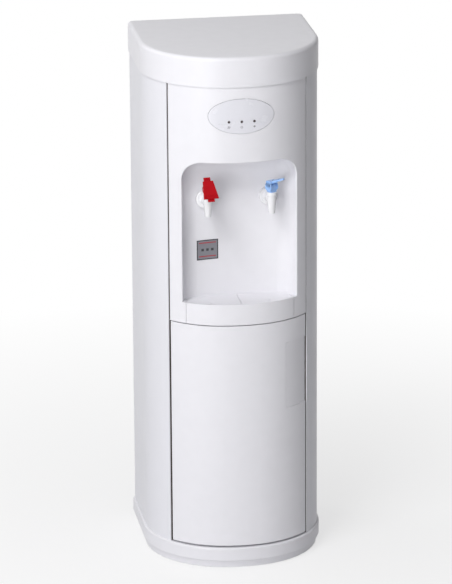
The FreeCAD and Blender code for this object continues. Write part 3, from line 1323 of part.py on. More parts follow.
def make_cold_lever():
    """Light lever: cheeks, a bridge over the bonnet and a slim rising arm."""
    bridge_low = PIVOT_Z + BONNET_R + LEVER_AIR
    half_w = BONNET_HALF_W + EAR_GAP + EAR_T
    bridge = box(-half_w, half_w, -EAR_R, EAR_R, bridge_low, bridge_low + COLD_ARM_T)
    tip = -COLD_ARM_L
    tip_z = bridge_low + (COLD_ARM_L - EAR_R) * math.tan(math.radians(COLD_ARM_DEG))
    profile = [vec(0, EAR_R, bridge_low), vec(0, EAR_R, bridge_low + COLD_ARM_T),
               vec(0, COLD_KNEE - EAR_R, bridge_low + COLD_ARM_T + COLD_KNEE_RISE),
               vec(0, tip, tip_z + COLD_TIP_T),
               vec(0, tip, tip_z), vec(0, -EAR_R, bridge_low)]
    face = Part.Face(Part.makePolygon(profile + profile[:1]))
    arm = face.extrude(vec(COLD_ARM_W, 0, 0))
    arm.translate(vec(-COLD_ARM_W / 2, 0, 0))
    outline = prism([(-COLD_ARM_W / 2, EAR_R), (-COLD_ARM_W / 2, -EAR_R),
                     (-COLD_TIP_W / 2, tip), (COLD_TIP_W / 2, tip),
                     (COLD_ARM_W / 2, -EAR_R), (COLD_ARM_W / 2, EAR_R)],
                    PIVOT_Z, tip_z + COLD_ARM_L)

    def tip_corner(middle, edge):
        return abs(middle.y - tip) < 1e-6 and is_upright(edge)

    outline = outline.makeFillet(COLD_TIP_R, picked_edges(outline, tip_corner))
    lever = fuse(bridge, arm.common(outline), *lever_ears(bridge_low - PIVOT_Z + LEVER_SINK))
    hole = rod(TRUNNION_R + TRUNNION_RUN, 4 * half_w, vec(-2 * half_w, 0, PIVOT_Z), RIGHTWARD)
    return at_tap(lever.cut(hole), TAP_X, COLD_TURN_DEG)


def sloped(x0, x1, along0, along1, near, thick):
    """A plate on the hot lever's slope, near above the pivot's axis."""
    plate = box(x0, x1, -along1, -along0, near, near + thick)
    plate.rotate(vec(0, 0), RIGHTWARD, HOT_SLOPE_DEG)
    plate.translate(vec(0, 0, PIVOT_Z))
    return plate


def hot_paddle_low():
    """Underside of the paddle above the pivot: bonnet, lock and two air gaps."""
    return BONNET_R + LEVER_AIR + LOCK_T + LEVER_AIR


def hot_paddle(near):
    """The paddle: wider at its lower end, with rounded lower corners."""
    corners = [vec(-HOT_TOP_HALF_W, HOT_UP, near), vec(HOT_TOP_HALF_W, HOT_UP, near),
               vec(HOT_LOW_HALF_W, -HOT_DOWN, near), vec(-HOT_LOW_HALF_W, -HOT_DOWN, near)]
    plate = Part.Face(Part.makePolygon(corners + corners[:1])).extrude(vec(0, 0, HOT_T))
    plate = plate.makeFillet(HOT_CORNER_R, picked_edges(plate, lambda middle, edge: is_upright(edge)))
    plate.rotate(vec(0, 0), RIGHTWARD, HOT_SLOPE_DEG)
    plate.translate(vec(0, 0, PIVOT_Z))
    return plate


def make_hot_lever():
    """Broad paddle that slopes down in front of the tap, on two cheeks."""
    near = hot_paddle_low()
    pieces = []
    for side in (-1, 1):
        close = side * (BONNET_HALF_W + EAR_GAP)
        far = side * (BONNET_HALF_W + EAR_GAP + EAR_T)
        x0 = min(close, far)
        pieces.append(rod(EAR_R, EAR_T, vec(x0, 0, PIVOT_Z), RIGHTWARD))
        pieces.append(sloped(x0, x0 + EAR_T, -WEB_UP, WEB_DOWN, 0, near + LEVER_SINK))
        lip = side * LOCK_LIP_X
        lip_high = BONNET_R + LEVER_AIR - LOCK_LIP_AIR
        pieces.append(sloped(min(lip, far), max(lip, far), LOCK_LIP_FROM, WEB_DOWN,
                             lip_high - LOCK_LIP_T, LOCK_LIP_T))
    bar_half = HOT_LOW_HALF_W - HOT_BAR_INSET
    for start in HOT_BARS_FROM:
        pieces.append(sloped(-bar_half, bar_half, HOT_DOWN - start, HOT_DOWN - start + HOT_BAR_W,
                             near + HOT_T / 2, HOT_T / 2 + HOT_BAR_PROUD))
    lever = fuse(hot_paddle(near), *pieces)
    half = 4 * HOT_LOW_HALF_W
    hole = rod(TRUNNION_R + TRUNNION_RUN, half, vec(-half / 2, 0, PIVOT_Z), RIGHTWARD)
    return at_tap(lever.cut(hole), -TAP_X, HOT_TURN_DEG)


def make_hot_lock():
    """Sliding lock under the paddle; its two ends stand out above and below."""
    plate = sloped(-LOCK_HALF_W, LOCK_HALF_W, -LOCK_UP, LOCK_DOWN, BONNET_R + LEVER_AIR, LOCK_T)
    return at_tap(plate, -TAP_X, HOT_TURN_DEG)


# ------------------------------------------------------------------ tanks and their lines
def domed_can(radius, low, high, x, y, dome):
    can = rod(radius, high - low, vec(x, y, low), UP)

    def on_rim(middle, edge):
        return abs(middle.z - low) < 1e-6 or abs(middle.z - high) < 1e-6

    return can.makeFillet(dome, picked_edges(can, on_rim))


def turned_can(radius, low, high, x, y, cone):
    """A can whose two ends draw in by a short cone, turned about its axis."""
    profile = [vec(0, 0, low), vec(radius - cone, 0, low), vec(radius, 0, low + cone),
               vec(radius, 0, high - cone), vec(radius - cone, 0, high), vec(0, 0, high)]
    face = Part.Face(Part.makePolygon(profile + profile[:1]))
    can = face.revolve(vec(0, 0), UP, 360)
    can.translate(vec(x, y))
    return can


def make_tank(radius, low, high, x, y):
    """Thin-walled can with coned ends."""
    outer = turned_can(radius, low, high, x, y, TANK_CONE)
    inner = turned_can(radius - TANK_WALL, low + TANK_WALL, high - TANK_WALL, x, y, TANK_CONE)
    return outer.cut(inner)


def make_jacket(radius, low, high, x, y, side, end, passage):
    """Insulation moulded round a can, with a passage for its line."""
    block = rod(radius + side, high - low + 2 * end, vec(x, y, low - end), UP)
    return block.cut([turned_can(radius, low, high, x, y, TANK_CONE), passage])


def cold_line_solid(radius):
    return rod(radius, COLD_Y - TAIL_END, vec(TAP_X, TAIL_END, TAP_Z), BACKWARD)


def hot_line_route():
    """From the hot tap's tail, down behind the niche and back into the hot tank."""
    return [vec(-TAP_X, TAIL_END, TAP_Z), vec(-TAP_X, HOT_LINE_Y, TAP_Z),
            vec(-TAP_X, HOT_LINE_Y, HOT_LINE_Z), vec(-TAP_X, HOT_Y, HOT_LINE_Z)]


def make_tank_shelf():
    """Bent bracket from side to side that carries the cold tank."""
    low = SHELF2_Z - SHELF2_LIP
    high = SHELF2_Z + SHELF2_T
    outer = BODY_HALF_W - SIDE_WALL
    inner = outer - SHELF2_T
    front = BODY_HALF_W - LIP_INSET
    pieces = [box(-outer, outer, SHELF2_FRONT, WELL_FRONT, SHELF2_Z, high)]
    pieces.append(box(-outer, -inner, SHELF2_FRONT, WELL_FRONT, low, high))
    pieces.append(box(inner, outer, SHELF2_FRONT, WELL_FRONT, low, high))
    pieces.append(box(-front, front, SHELF2_FRONT, SHELF2_FRONT + SHELF2_T, low, SHELF2_Z))
    shelf = fuse(*pieces).common(d_prism(-SIDE_WALL, low, high))
    return shelf.cut(rod(TUBE_R, 2 * PIERCE, vec(PUMP_X, FEED_Y, SHELF2_Z - PIERCE), UP))


def make_compressor():
    """Hermetic pot with its weld seam, on a pressed foot plate."""
    pot = domed_can(COMP_R, COMP_LOW, COMP_HIGH, COMP_X, COMP_Y, COMP_DOME_R)
    seam = rod(COMP_R + COMP_SEAM_PROUD, COMP_SEAM_H, vec(COMP_X, COMP_Y, COMP_SEAM_Z), UP)
    plate_half = COMP_FOOT_PITCH / 2 + COMP_FOOT_R + COMP_FOOT_BORDER
    plate = box(COMP_X - plate_half, COMP_X + plate_half, COMP_Y - plate_half,
                COMP_Y + plate_half, COMP_LOW, COMP_LOW + COMP_PLATE_T)
    body = fuse(pot, seam, plate)
    hollow = turned_can(COMP_R - COMP_WALL, COMP_LOW + COMP_WALL, COMP_HIGH - COMP_WALL,
                        COMP_X, COMP_Y, COMP_DOME_R - COMP_WALL)
    drills = [rod(COMP_BOLT_R, PIERCE + COMP_PLATE_T, foot + UP * (COMP_LOW - PIERCE), UP)
              for foot in compressor_feet()]
    return body.cut([hollow] + drills)


def compressor_feet():
    half = COMP_FOOT_PITCH / 2
    return [vec(COMP_X + sx * half, COMP_Y + sy * half) for sx in (-1, 1) for sy in (-1, 1)]


def make_compressor_mounts():
    """Four rubber grommets with bolts between the foot plate and the shelf."""
    mounts = []
    for foot in compressor_feet():
        plate_top = foot + UP * (COMP_LOW + COMP_PLATE_T)
        pad = rod(COMP_FOOT_R, COMP_LOW - SHELF_HIGH, foot + UP * SHELF_HIGH, UP)
        bolt = rod(COMP_BOLT_R, COMP_PLATE_T + COMP_BOLT_UP, foot + UP * COMP_LOW, UP)
        cap = rod(COMP_BOLT_R + COMP_BOLT_HEAD, COMP_BOLT_HEAD_T, plate_top, UP)
        mounts.append(fuse(pad, bolt, cap))
    return Part.makeCompound(mounts)


def coil_route():
    """The condenser's run: in from the compressor, to and fro, and back inside."""
    points = [vec(COIL_LEAD_X, COMP_Y, COIL_LOW), vec(COIL_LEAD_X, COIL_Y, COIL_LOW)]
    x = -COIL_HALF_W
    for run in range(COIL_RUNS - 1):
        z = COIL_LOW + run * COIL_PITCH
        points.append(vec(x, COIL_Y, z))
        points.append(vec(x, COIL_Y, z + COIL_PITCH))
        x = -x
    points.append(vec(COIL_OUT_X, COIL_Y, COIL_HIGH))
    points.append(vec(COIL_OUT_X, WELL_FRONT - COIL_LEAD_IN, COIL_HIGH))
    return points


def make_condenser(compressor):
    """Wire-on-tube condenser: one serpentine tube, upright wires, clips and the drier."""
    route = coil_route()
    first = vec(0, COIL_Y, COIL_LOW)
    last = vec(0, COIL_Y, COIL_HIGH)
    inlet = bent_tube(route[:2] + [first], COIL_TUBE_R, 0, COIL_LEAD_R)
    snake = bent_tube([first] + route[2:-2] + [last], COIL_TUBE_R, 0, COIL_BEND_R)
    outlet = bent_tube([last] + route[-2:], COIL_TUBE_R, 0, COIL_LEAD_R)
    pieces = [fuse(inlet.cut(compressor), snake, outlet)]
    low = COIL_LOW - WIRE_OVER
    high = COIL_HIGH + WIRE_OVER
    front = COIL_Y - COIL_TUBE_R - WIRE_W
    for index in range(WIRE_COUNT):
        x = index * WIRE_PITCH - WIRE_HALF
        for near in (front, COIL_Y + COIL_TUBE_R):
            pieces.append(box(x - WIRE_W / 2, x + WIRE_W / 2, near, near + WIRE_W, low, high))
    half = COIL_CLIP_W / 2
    for x in (COIL_CLIP_SIDE - COIL_HALF_W, COIL_HALF_W - COIL_CLIP_SIDE):
        for z in (COIL_LOW + 1.5 * COIL_PITCH, COIL_HIGH - 1.5 * COIL_PITCH):
            pieces.append(box(x - half, x + half, WELL_FACE, front,
                              z - COIL_CLIP_H / 2, z + COIL_CLIP_H / 2))
    end = route[-1]
    pieces.append(turned_can(DRIER_R, end.z + DRIER_TOP - DRIER_H, end.z + DRIER_TOP,
                             end.x, end.y - DRIER_R, DRIER_CONE))
    return Part.makeCompound(pieces)


# ------------------------------------------------------------------ pump and probe
def make_water_pump():
    """Small pump hung on the outside of the liner, motor downwards."""
    half = PUMP_HEAD / 2
    low = PUMP_TOP - PUMP_HEAD
    head = box(BAY_OUT_X, PUMP_X + PUMP_HEAD_OUT, PUMP_Y - half, PUMP_Y + half, low, PUMP_TOP)
    motor = rod(PUMP_MOTOR_R, PUMP_MOTOR_H, vec(PUMP_X, PUMP_Y, low - PUMP_MOTOR_H), UP)
    wing = half + PUMP_PLATE_WING
    plate = box(BAY_OUT_X, BAY_OUT_X + PUMP_PLATE_T, PUMP_Y - wing, PUMP_Y + wing,
                low, PUMP_TOP - PUMP_PLATE_DROP)
    return fuse(head, motor, plate)


def make_pump_lines():
    """Suction line from the bay to the pump, and feed line up to the cold tank."""
    suction = bent_tube([vec(BAY_HALF_W, PROBE_Y, INLET_Z), vec(PUMP_X, PROBE_Y, INLET_Z),
                         vec(PUMP_X, SUCTION_Y, INLET_Z), vec(PUMP_X, SUCTION_Y, PUMP_TOP)],
                        TUBE_R, TUBE_BORE_R, TUBE_BEND_R)
    feed = bent_tube([vec(PUMP_X, FEED_Y, PUMP_TOP), vec(PUMP_X, FEED_Y, FEED_Z),
                      vec(COLD_X, FEED_Y, FEED_Z)], TUBE_R, TUBE_BORE_R, FEED_BEND_R)
    tank = turned_can(COLD_R, COLD_LOW, COLD_HIGH, COLD_X, COLD_Y, TANK_CONE)
    outside = max(feed.cut(tank).Solids, key=lambda solid: solid.BoundBox.ZLength)
    return Part.makeCompound([suction, outside])


def make_bay_inlet():
    """Elbow block under the shelf that the probe's hose plugs into."""
    block = box(PROBE_X - INLET_HALF, BAY_HALF_W, PROBE_Y - INLET_HALF, PROBE_Y + INLET_HALF,
                INLET_LOW, SHELF_LOW)
    foot = vec(PROBE_X, PROBE_Y, INLET_LOW - SPUD_H)
    spud = rod(PROBE_HOSE_BORE_R, SPUD_H, foot, UP)
    bores = [rod(TUBE_BORE_R, SPUD_H + INLET_H / 2, foot, UP)]
    bores.append(rod(TUBE_BORE_R, BAY_HALF_W - PROBE_X, vec(PROBE_X, PROBE_Y, INLET_Z), RIGHTWARD))
    return fuse(block, spud).cut(bores)


def make_probe():
    """Bottle cap with its long dip tube and foot strainer."""
    centre = vec(PROBE_X, PROBE_Y, 0)
    cap = rod(PROBE_CAP_R, PROBE_CAP_H, centre + UP * PROBE_CAP_LOW, UP)

    def top_rim(middle, edge):
        return abs(middle.z - PROBE_CAP_TOP) < 1e-6

    cap = cap.makeFillet(PROBE_CAP_EDGE_R, picked_edges(cap, top_rim))
    cap = cap.cut(rod(PROBE_CAP_BORE_R, PROBE_CAP_H - PROBE_CAP_T, centre + UP * PROBE_CAP_LOW, UP))
    spud = rod(PROBE_HOSE_BORE_R, SPUD_H, centre + UP * PROBE_CAP_TOP, UP)
    tube = rod(PROBE_TUBE_R, PROBE_CAP_TOP - PROBE_TUBE_LOW, centre + UP * PROBE_TUBE_LOW, UP)
    foot_low = PROBE_TUBE_LOW - PROBE_FOOT_DROP
    flare_r = PROBE_TUBE_R + PROBE_FOOT_FLARE
    foot = Part.makeCone(flare_r, PROBE_TUBE_R, PROBE_FOOT_H, centre + UP * foot_low, UP)
    body = fuse(cap, spud, tube, foot)
    bore_length = PROBE_CAP_TOP + SPUD_H + PIERCE - foot_low
    cutters = [rod(PROBE_TUBE_BORE_R, bore_length, centre + UP * foot_low, UP)]
    for index in range(PROBE_NOTCHES):
        notch = box(-PROBE_NOTCH_W / 2, PROBE_NOTCH_W / 2, 0, flare_r + PIERCE,
                    foot_low - PIERCE, foot_low + PROBE_NOTCH_H)
        notch.rotate(vec(0, 0), UP, 360.0 * index / PROBE_NOTCHES)
        notch.translate(centre)
        cutters.append(notch)
    return body.cut(cutters)


def make_probe_hose():
    """Ribbed hose between the probe and the bay's inlet."""
    pitch = PROBE_HOSE_L / PROBE_HOSE_RIBS
    valley = PROBE_HOSE_R - PROBE_HOSE_RIB
    profile = [vec(PROBE_HOSE_BORE_R, 0, 0)]
    for index in range(PROBE_HOSE_RIBS):
        profile.append(vec(valley, 0, index * pitch))
        profile.append(vec(PROBE_HOSE_R, 0, (index + 0.5) * pitch))
    profile.append(vec(valley, 0, PROBE_HOSE_L))
    profile.append(vec(PROBE_HOSE_BORE_R, 0, PROBE_HOSE_L))
    hose = Part.Face(Part.makePolygon(profile + profile[:1])).revolve(vec(0, 0), UP, 360)
    hose.translate(vec(PROBE_X, PROBE_Y, PROBE_CAP_TOP))
    return hose


def make_probe_hanger():
    """Fork on the liner that the probe's cap rests on."""
    low = PROBE_CAP_LOW - HANGER_T
    outer = HANGER_GAP + HANGER_ARM_W
    root = BAY_BACK - HANGER_PAD_T / 2
    pieces = [box(PROBE_X - outer, PROBE_X + outer, PROBE_Y + HANGER_BRIDGE, root,
                  low, PROBE_CAP_LOW)]
    pieces.append(box(PROBE_X - outer, PROBE_X + outer, BAY_BACK - HANGER_PAD_T, BAY_BACK,
                      low - HANGER_PAD_H, PROBE_CAP_LOW))
    for near in (PROBE_X - outer, PROBE_X + HANGER_GAP):
        pieces.append(box(near, near + HANGER_ARM_W, PROBE_Y - HANGER_REACH, root,
                          low, PROBE_CAP_LOW))
    inside = bay_outline(0, low - HANGER_PAD_H, PROBE_CAP_LOW)
    return fuse(*pieces).common(inside)


# ------------------------------------------------------------------ rear fittings
def make_mains_gland():
    """Flanged inlet bush in the back panel, where the supply enters."""
    flange = rod(GLAND_R, GLAND_FLANGE_T, vec(GLAND_X, WELL_FACE, GLAND_Z), BACKWARD)
    rear = WELL_FACE + GLAND_FLANGE_T
    neck = rod(GLAND_R - GLAND_LIP, GLAND_T, vec(GLAND_X, rear - GLAND_T, GLAND_Z), BACKWARD)
    bore = rod(GLAND_BORE_R, GLAND_T, vec(GLAND_X, rear - GLAND_T, GLAND_Z), BACKWARD)
    return fuse(flange, neck).cut(bore)


def make_drain_spigot():
    """Drain outlet low on the back, with its collar against the panel."""
    face = vec(DRAIN_CAP_X, WELL_FACE, DRAIN_CAP_Z)
    inner_end = vec(DRAIN_CAP_X, WELL_FACE - SPIGOT_TAIL_L, DRAIN_CAP_Z)
    collar = rod(SPIGOT_R + SPIGOT_COLLAR, SPIGOT_COLLAR_T, face, BACKWARD)
    spigot = rod(SPIGOT_R, SPIGOT_L, face, BACKWARD)
    tail = rod(SPIGOT_R - SPIGOT_TAIL_IN, SPIGOT_TAIL_L, inner_end, BACKWARD)
    bore = rod(SPIGOT_BORE_R, SPIGOT_TAIL_L + SPIGOT_L, inner_end, BACKWARD)
    return fuse(collar, spigot, tail).cut(bore)


def make_drain_cap():
    """Fluted cap that pulls off the drain outlet."""
    start = WELL_FACE + SPIGOT_COLLAR_T + DRAIN_CAP_GAP
    base = vec(DRAIN_CAP_X, start, DRAIN_CAP_Z)
    cap = rod(DRAIN_CAP_R, DRAIN_CAP_L + DRAIN_CAP_END, base, BACKWARD)
    cutters = [rod(SPIGOT_R + CAP_AIR, DRAIN_CAP_L, base, BACKWARD)]
    for index in range(DRAIN_CAP_FLUTES):
        angle = 2 * math.pi * index / DRAIN_CAP_FLUTES
        at = vec(DRAIN_CAP_X + DRAIN_CAP_R * math.cos(angle), start - PIERCE,
                 DRAIN_CAP_Z + DRAIN_CAP_R * math.sin(angle))
        cutters.append(rod(DRAIN_CAP_FLUTE_R, 3 * PIERCE, at, BACKWARD))
    return cap.cut(cutters)


def make_switch_bezel():
    """Frame in the back panel with two rocker wells and the holes for their axles."""
    front = WELL_FACE + SWITCH_PROUD
    plate = box(SWITCH_X - SWITCH_HALF_W, SWITCH_X + SWITCH_HALF_W, WELL_FACE, front,
                SWITCH_Z - SWITCH_HALF_H, SWITCH_Z + SWITCH_HALF_H)

    def corner(middle, edge):
        return abs(edge.BoundBox.YLength - edge.Length) < 1e-3

    plate = plate.makeFillet(SWITCH_LIP, picked_edges(plate, corner))
    half_w = SWITCH_HALF_W - SWITCH_LIP
    half_h = SWITCH_HALF_H - SWITCH_LIP
    body = box(SWITCH_X - half_w, SWITCH_X + half_w, WELL_FACE - SWITCH_DEPTH, front,
               SWITCH_Z - half_h, SWITCH_Z + half_h)
    cutters = []
    well_w = ROCKER_HALF_W + ROCKER_AIR
    well_h = ROCKER_HALF_H + ROCKER_AIR
    reach = well_w + AXLE_L
    for x in ROCKER_XS:
        cutters.append(box(x - well_w, x + well_w, WELL_FACE - SWITCH_WELL, front,
                           SWITCH_Z - well_h, SWITCH_Z + well_h))
        cutters.append(rod(AXLE_R + AXLE_RUN, 2 * reach, vec(x - reach, ROCKER_AXIS_Y, SWITCH_Z),
                           RIGHTWARD))
    return fuse(plate, body).cut(cutters)


def make_rocker(x):
    """Rocker with a shallow vee face and a stub axle at each side."""
    face = WELL_FACE + SWITCH_PROUD
    low = SWITCH_Z - ROCKER_HALF_H + ROCKER_END_AIR
    high = SWITCH_Z + ROCKER_HALF_H - ROCKER_END_AIR
    bottom = ROCKER_AXIS_Y - ROCKER_DEPTH
    edge = face - ROCKER_EDGE
    crest = face + ROCKER_PROUD
    profile = [vec(0, bottom, low + ROCKER_TAPER), vec(0, bottom, high - ROCKER_TAPER),
               vec(0, edge, high), vec(0, crest, high - ROCKER_VEE),
               vec(0, face + ROCKER_VEE, SWITCH_Z), vec(0, crest, low + ROCKER_VEE),
               vec(0, edge, low)]
    key = Part.Face(Part.makePolygon(profile + profile[:1])).extrude(vec(2 * ROCKER_HALF_W, 0, 0))
    key.translate(vec(x - ROCKER_HALF_W, 0, 0))
    reach = ROCKER_HALF_W + AXLE_L
    axle = rod(AXLE_R, 2 * reach, vec(x - reach, ROCKER_AXIS_Y, SWITCH_Z), RIGHTWARD)
    return fuse(key, axle)


# ------------------------------------------------------------------ build and write out
def build_all():
    left_panel = make_side_panel(-1)
    right_panel = make_side_panel(1)
    left_panel = left_panel.cut(screw_drills())
    right_panel = right_panel.cut(screw_drills())
    fascia = make_upper_fascia()
    trims = make_edge_trims()
    strike = make_door_strike()
    compressor = make_compressor()
    cold_passage = cold_line_solid(LINE_R)
    feed_passage = rod(TUBE_R, PUMP_X, vec(COLD_X, FEED_Y, FEED_Z), RIGHTWARD)
    hot_outer = bent_tube(hot_line_route(), LINE_R, 0, LINE_BEND_R)
    hot_tank_can = turned_can(HOT_R, HOT_LOW, HOT_HIGH, HOT_X, HOT_Y, TANK_CONE)
    cold_tank_can = turned_can(COLD_R, COLD_LOW, COLD_HIGH, COLD_X, COLD_Y, TANK_CONE)
    hot_line = bent_tube(hot_line_route(), LINE_R, LINE_BORE_R, LINE_BEND_R).cut(hot_tank_can)
    cold_line = cold_line_solid(LINE_R).cut([cold_line_solid(LINE_BORE_R), cold_tank_can])
    hot_tank = make_tank(HOT_R, HOT_LOW, HOT_HIGH, HOT_X, HOT_Y)
    jacket = make_jacket(HOT_R, HOT_LOW, HOT_HIGH, HOT_X, HOT_Y, JACKET_T, JACKET_END,
                         hot_outer)
    foam = make_jacket(COLD_R, COLD_LOW, COLD_HIGH, COLD_X, COLD_Y, FOAM_T, FOAM_END,
                       cold_passage).cut(feed_passage)
    return {
        "base_plinth": make_base_plinth(),
        "feet": make_feet(),
        "left_side_panel": left_panel,
        "right_side_panel": right_panel,
        "back_panel": make_back_panel(),
        "panel_screws": make_panel_screws(),
        "top_cap": make_top_cap(),
        "upper_fascia": fascia,
        "indicator_badge": make_indicator_badge(),
        "lamp_hot": make_lamp(LAMP_XS[0]),
        "lamp_power": make_lamp(LAMP_XS[1]),
        "lamp_cold": make_lamp(LAMP_XS[2]),
        "control_board": make_control_board(),
        "divider_shelf": make_divider_shelf([left_panel, right_panel, fascia, trims]),
        "bay_liner": make_bay_liner(),
        "bay_floor": make_bay_floor(),
        "edge_trims": trims,
        "door_catch": make_door_catch(),
        "hinge_pins": make_hinge_pins(),
        "door_panel": make_door_panel(),
        "door_liner": make_door_liner(strike),
        "door_grip": make_door_grip(),
        "door_strike": strike,
        "hinge_bushes": make_hinge_bushes(),
        "drip_tray": make_drip_tray(),
        "left_tray_cover": make_tray_cover(-1),
        "right_tray_cover": make_tray_cover(1),
        "hot_tap_body": make_tap_body(-TAP_X),
        "cold_tap_body": make_tap_body(TAP_X),
        "tap_gaskets": make_tap_gaskets(),
        "tap_nuts": make_tap_nuts(),
        "hot_tap_bonnet": make_bonnet(-TAP_X, HOT_TURN_DEG),
        "cold_tap_bonnet": make_bonnet(TAP_X, COLD_TURN_DEG),
        "hot_stem": make_stem(-TAP_X),
        "cold_stem": make_stem(TAP_X),
        "hot_lever": make_hot_lever(),
        "hot_lock": make_hot_lock(),
        "cold_lever": make_cold_lever(),
        "tank_shelf": make_tank_shelf(),
        "cold_tank": make_tank(COLD_R, COLD_LOW, COLD_HIGH, COLD_X, COLD_Y),
        "cold_tank_foam": foam,
        "hot_tank": hot_tank,
        "hot_tank_jacket": jacket,
        "cold_line": cold_line,
        "hot_line": hot_line,
        "compressor": compressor,
        "compressor_mounts": make_compressor_mounts(),
        "condenser": make_condenser(compressor),
        "water_pump": make_water_pump(),
        "pump_lines": make_pump_lines(),
        "bay_inlet": make_bay_inlet(),
        "probe": make_probe(),
        "probe_hose": make_probe_hose(),
        "probe_hanger": make_probe_hanger(),
        "mains_gland": make_mains_gland(),
        "drain_spigot": make_drain_spigot(),
        "drain_cap": make_drain_cap(),
        "switch_bezel": make_switch_bezel(),
        "rocker_hot": make_rocker(ROCKER_XS[0]),
        "rocker_cold": make_rocker(ROCKER_XS[1]),
    }


def main():
    os.makedirs("parts", exist_ok=True)
    for name, shape in build_all().items():
        solids = len(shape.Solids)
        print(f"{name:18s} solids {solids}  volume {shape.Volume:12.1f}  valid {shape.isValid()}")
        shape.exportStep(f"parts/{name}.step")


main()
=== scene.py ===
"""Looks for a free-standing bottom load water cooler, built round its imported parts.

Each sub-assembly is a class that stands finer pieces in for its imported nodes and
dresses them. Lengths in the classes are millimetres; meshes are in metres.
"""

import json
import logging
import math
from collections.abc import Callable, Iterable, Sequence
from dataclasses import dataclass, field
from enum import Enum

import bmesh
import bpy
from mathutils import Matrix, Vector
from mathutils.bvhtree import BVHTree

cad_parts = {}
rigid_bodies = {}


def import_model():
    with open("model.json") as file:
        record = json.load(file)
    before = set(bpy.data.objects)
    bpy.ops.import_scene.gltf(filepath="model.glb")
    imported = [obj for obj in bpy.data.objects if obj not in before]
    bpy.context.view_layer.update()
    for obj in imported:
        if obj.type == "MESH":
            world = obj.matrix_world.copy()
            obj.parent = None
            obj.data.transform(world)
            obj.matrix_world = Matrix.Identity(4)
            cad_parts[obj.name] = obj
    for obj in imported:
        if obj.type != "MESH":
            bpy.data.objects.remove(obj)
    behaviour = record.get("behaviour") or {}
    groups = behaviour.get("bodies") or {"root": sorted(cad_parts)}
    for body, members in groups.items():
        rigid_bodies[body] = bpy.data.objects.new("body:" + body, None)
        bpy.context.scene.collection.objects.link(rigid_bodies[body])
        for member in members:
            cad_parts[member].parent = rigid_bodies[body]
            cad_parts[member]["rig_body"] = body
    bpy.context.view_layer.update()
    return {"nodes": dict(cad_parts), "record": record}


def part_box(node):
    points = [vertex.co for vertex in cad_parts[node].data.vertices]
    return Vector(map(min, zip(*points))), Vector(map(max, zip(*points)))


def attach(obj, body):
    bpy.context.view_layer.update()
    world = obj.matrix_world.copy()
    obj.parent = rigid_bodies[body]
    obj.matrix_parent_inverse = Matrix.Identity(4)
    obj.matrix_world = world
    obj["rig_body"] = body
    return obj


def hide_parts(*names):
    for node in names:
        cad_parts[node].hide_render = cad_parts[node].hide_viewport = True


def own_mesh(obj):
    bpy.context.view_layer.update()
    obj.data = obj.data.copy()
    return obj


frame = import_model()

LOG = logging.getLogger("cooler")
MM = 0.001
# Distances in millimetres under which vertices are one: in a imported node, and at a pole.
MERGE = 0.002
WELD = 0.001
# Degrees: faces that turn less than the first are one flat, edges that turn more than the
# second stay crisp.
FLAT_DEG = 0.6
CRISP_DEG = 34.0
Colour = tuple[float, float, float]
Point = tuple[float, float, float]
Outline = Sequence[tuple[float, float]]
SLOT_OF_NODE = {row["node"]: row["material_slot"] for row in frame["record"]["subparts"]}


# ------------------------------------------------------------------ shader kit

# Numbers of the Mix node's colour sockets, whose names it uses more than once.
MIX_SHARE, MIX_FIRST, MIX_SECOND, MIX_COLOUR = 0, 6, 7, 2
MIDDLE = 0.5


class Wire:
    """A node's output that takes part in arithmetic: every operator adds a Math node."""

    def __init__(self, recipe: "Recipe", socket: bpy.types.NodeSocket) -> None:
        """Wraps an output of a node that belongs to a recipe."""
        self.recipe = recipe
        self.socket = socket

    def _math(self, operation: str, first: "Wire | float", second: "Wire | float") -> "Wire":
        """Adds one Math node."""
        return self.recipe.node("ShaderNodeMath", {"operation": operation}, {0: first, 1: second})

    def __add__(self, other: "Wire | float") -> "Wire":
        """self + other."""
        return self._math("ADD", self, other)

    def __radd__(self, other: float) -> "Wire":
        """other + self."""
        return self._math("ADD", other, self)

    def __sub__(self, other: "Wire | float") -> "Wire":
        """self - other."""
        return self._math("SUBTRACT", self, other)

    def __rsub__(self, other: float) -> "Wire":
        """other - self."""
        return self._math("SUBTRACT", other, self)

    def __mul__(self, other: "Wire | float") -> "Wire":
        """self * other."""
        return self._math("MULTIPLY", self, other)

    def __rmul__(self, other: float) -> "Wire":
        """other * self."""
        return self._math("MULTIPLY", other, self)

    def at_most(self, other: "Wire | float") -> "Wire":
        """The lesser of self and other."""
        return self._math("MINIMUM", self, other)

    def at_least(self, other: "Wire | float") -> "Wire":
        """The greater of self and other."""
        return self._math("MAXIMUM", self, other)


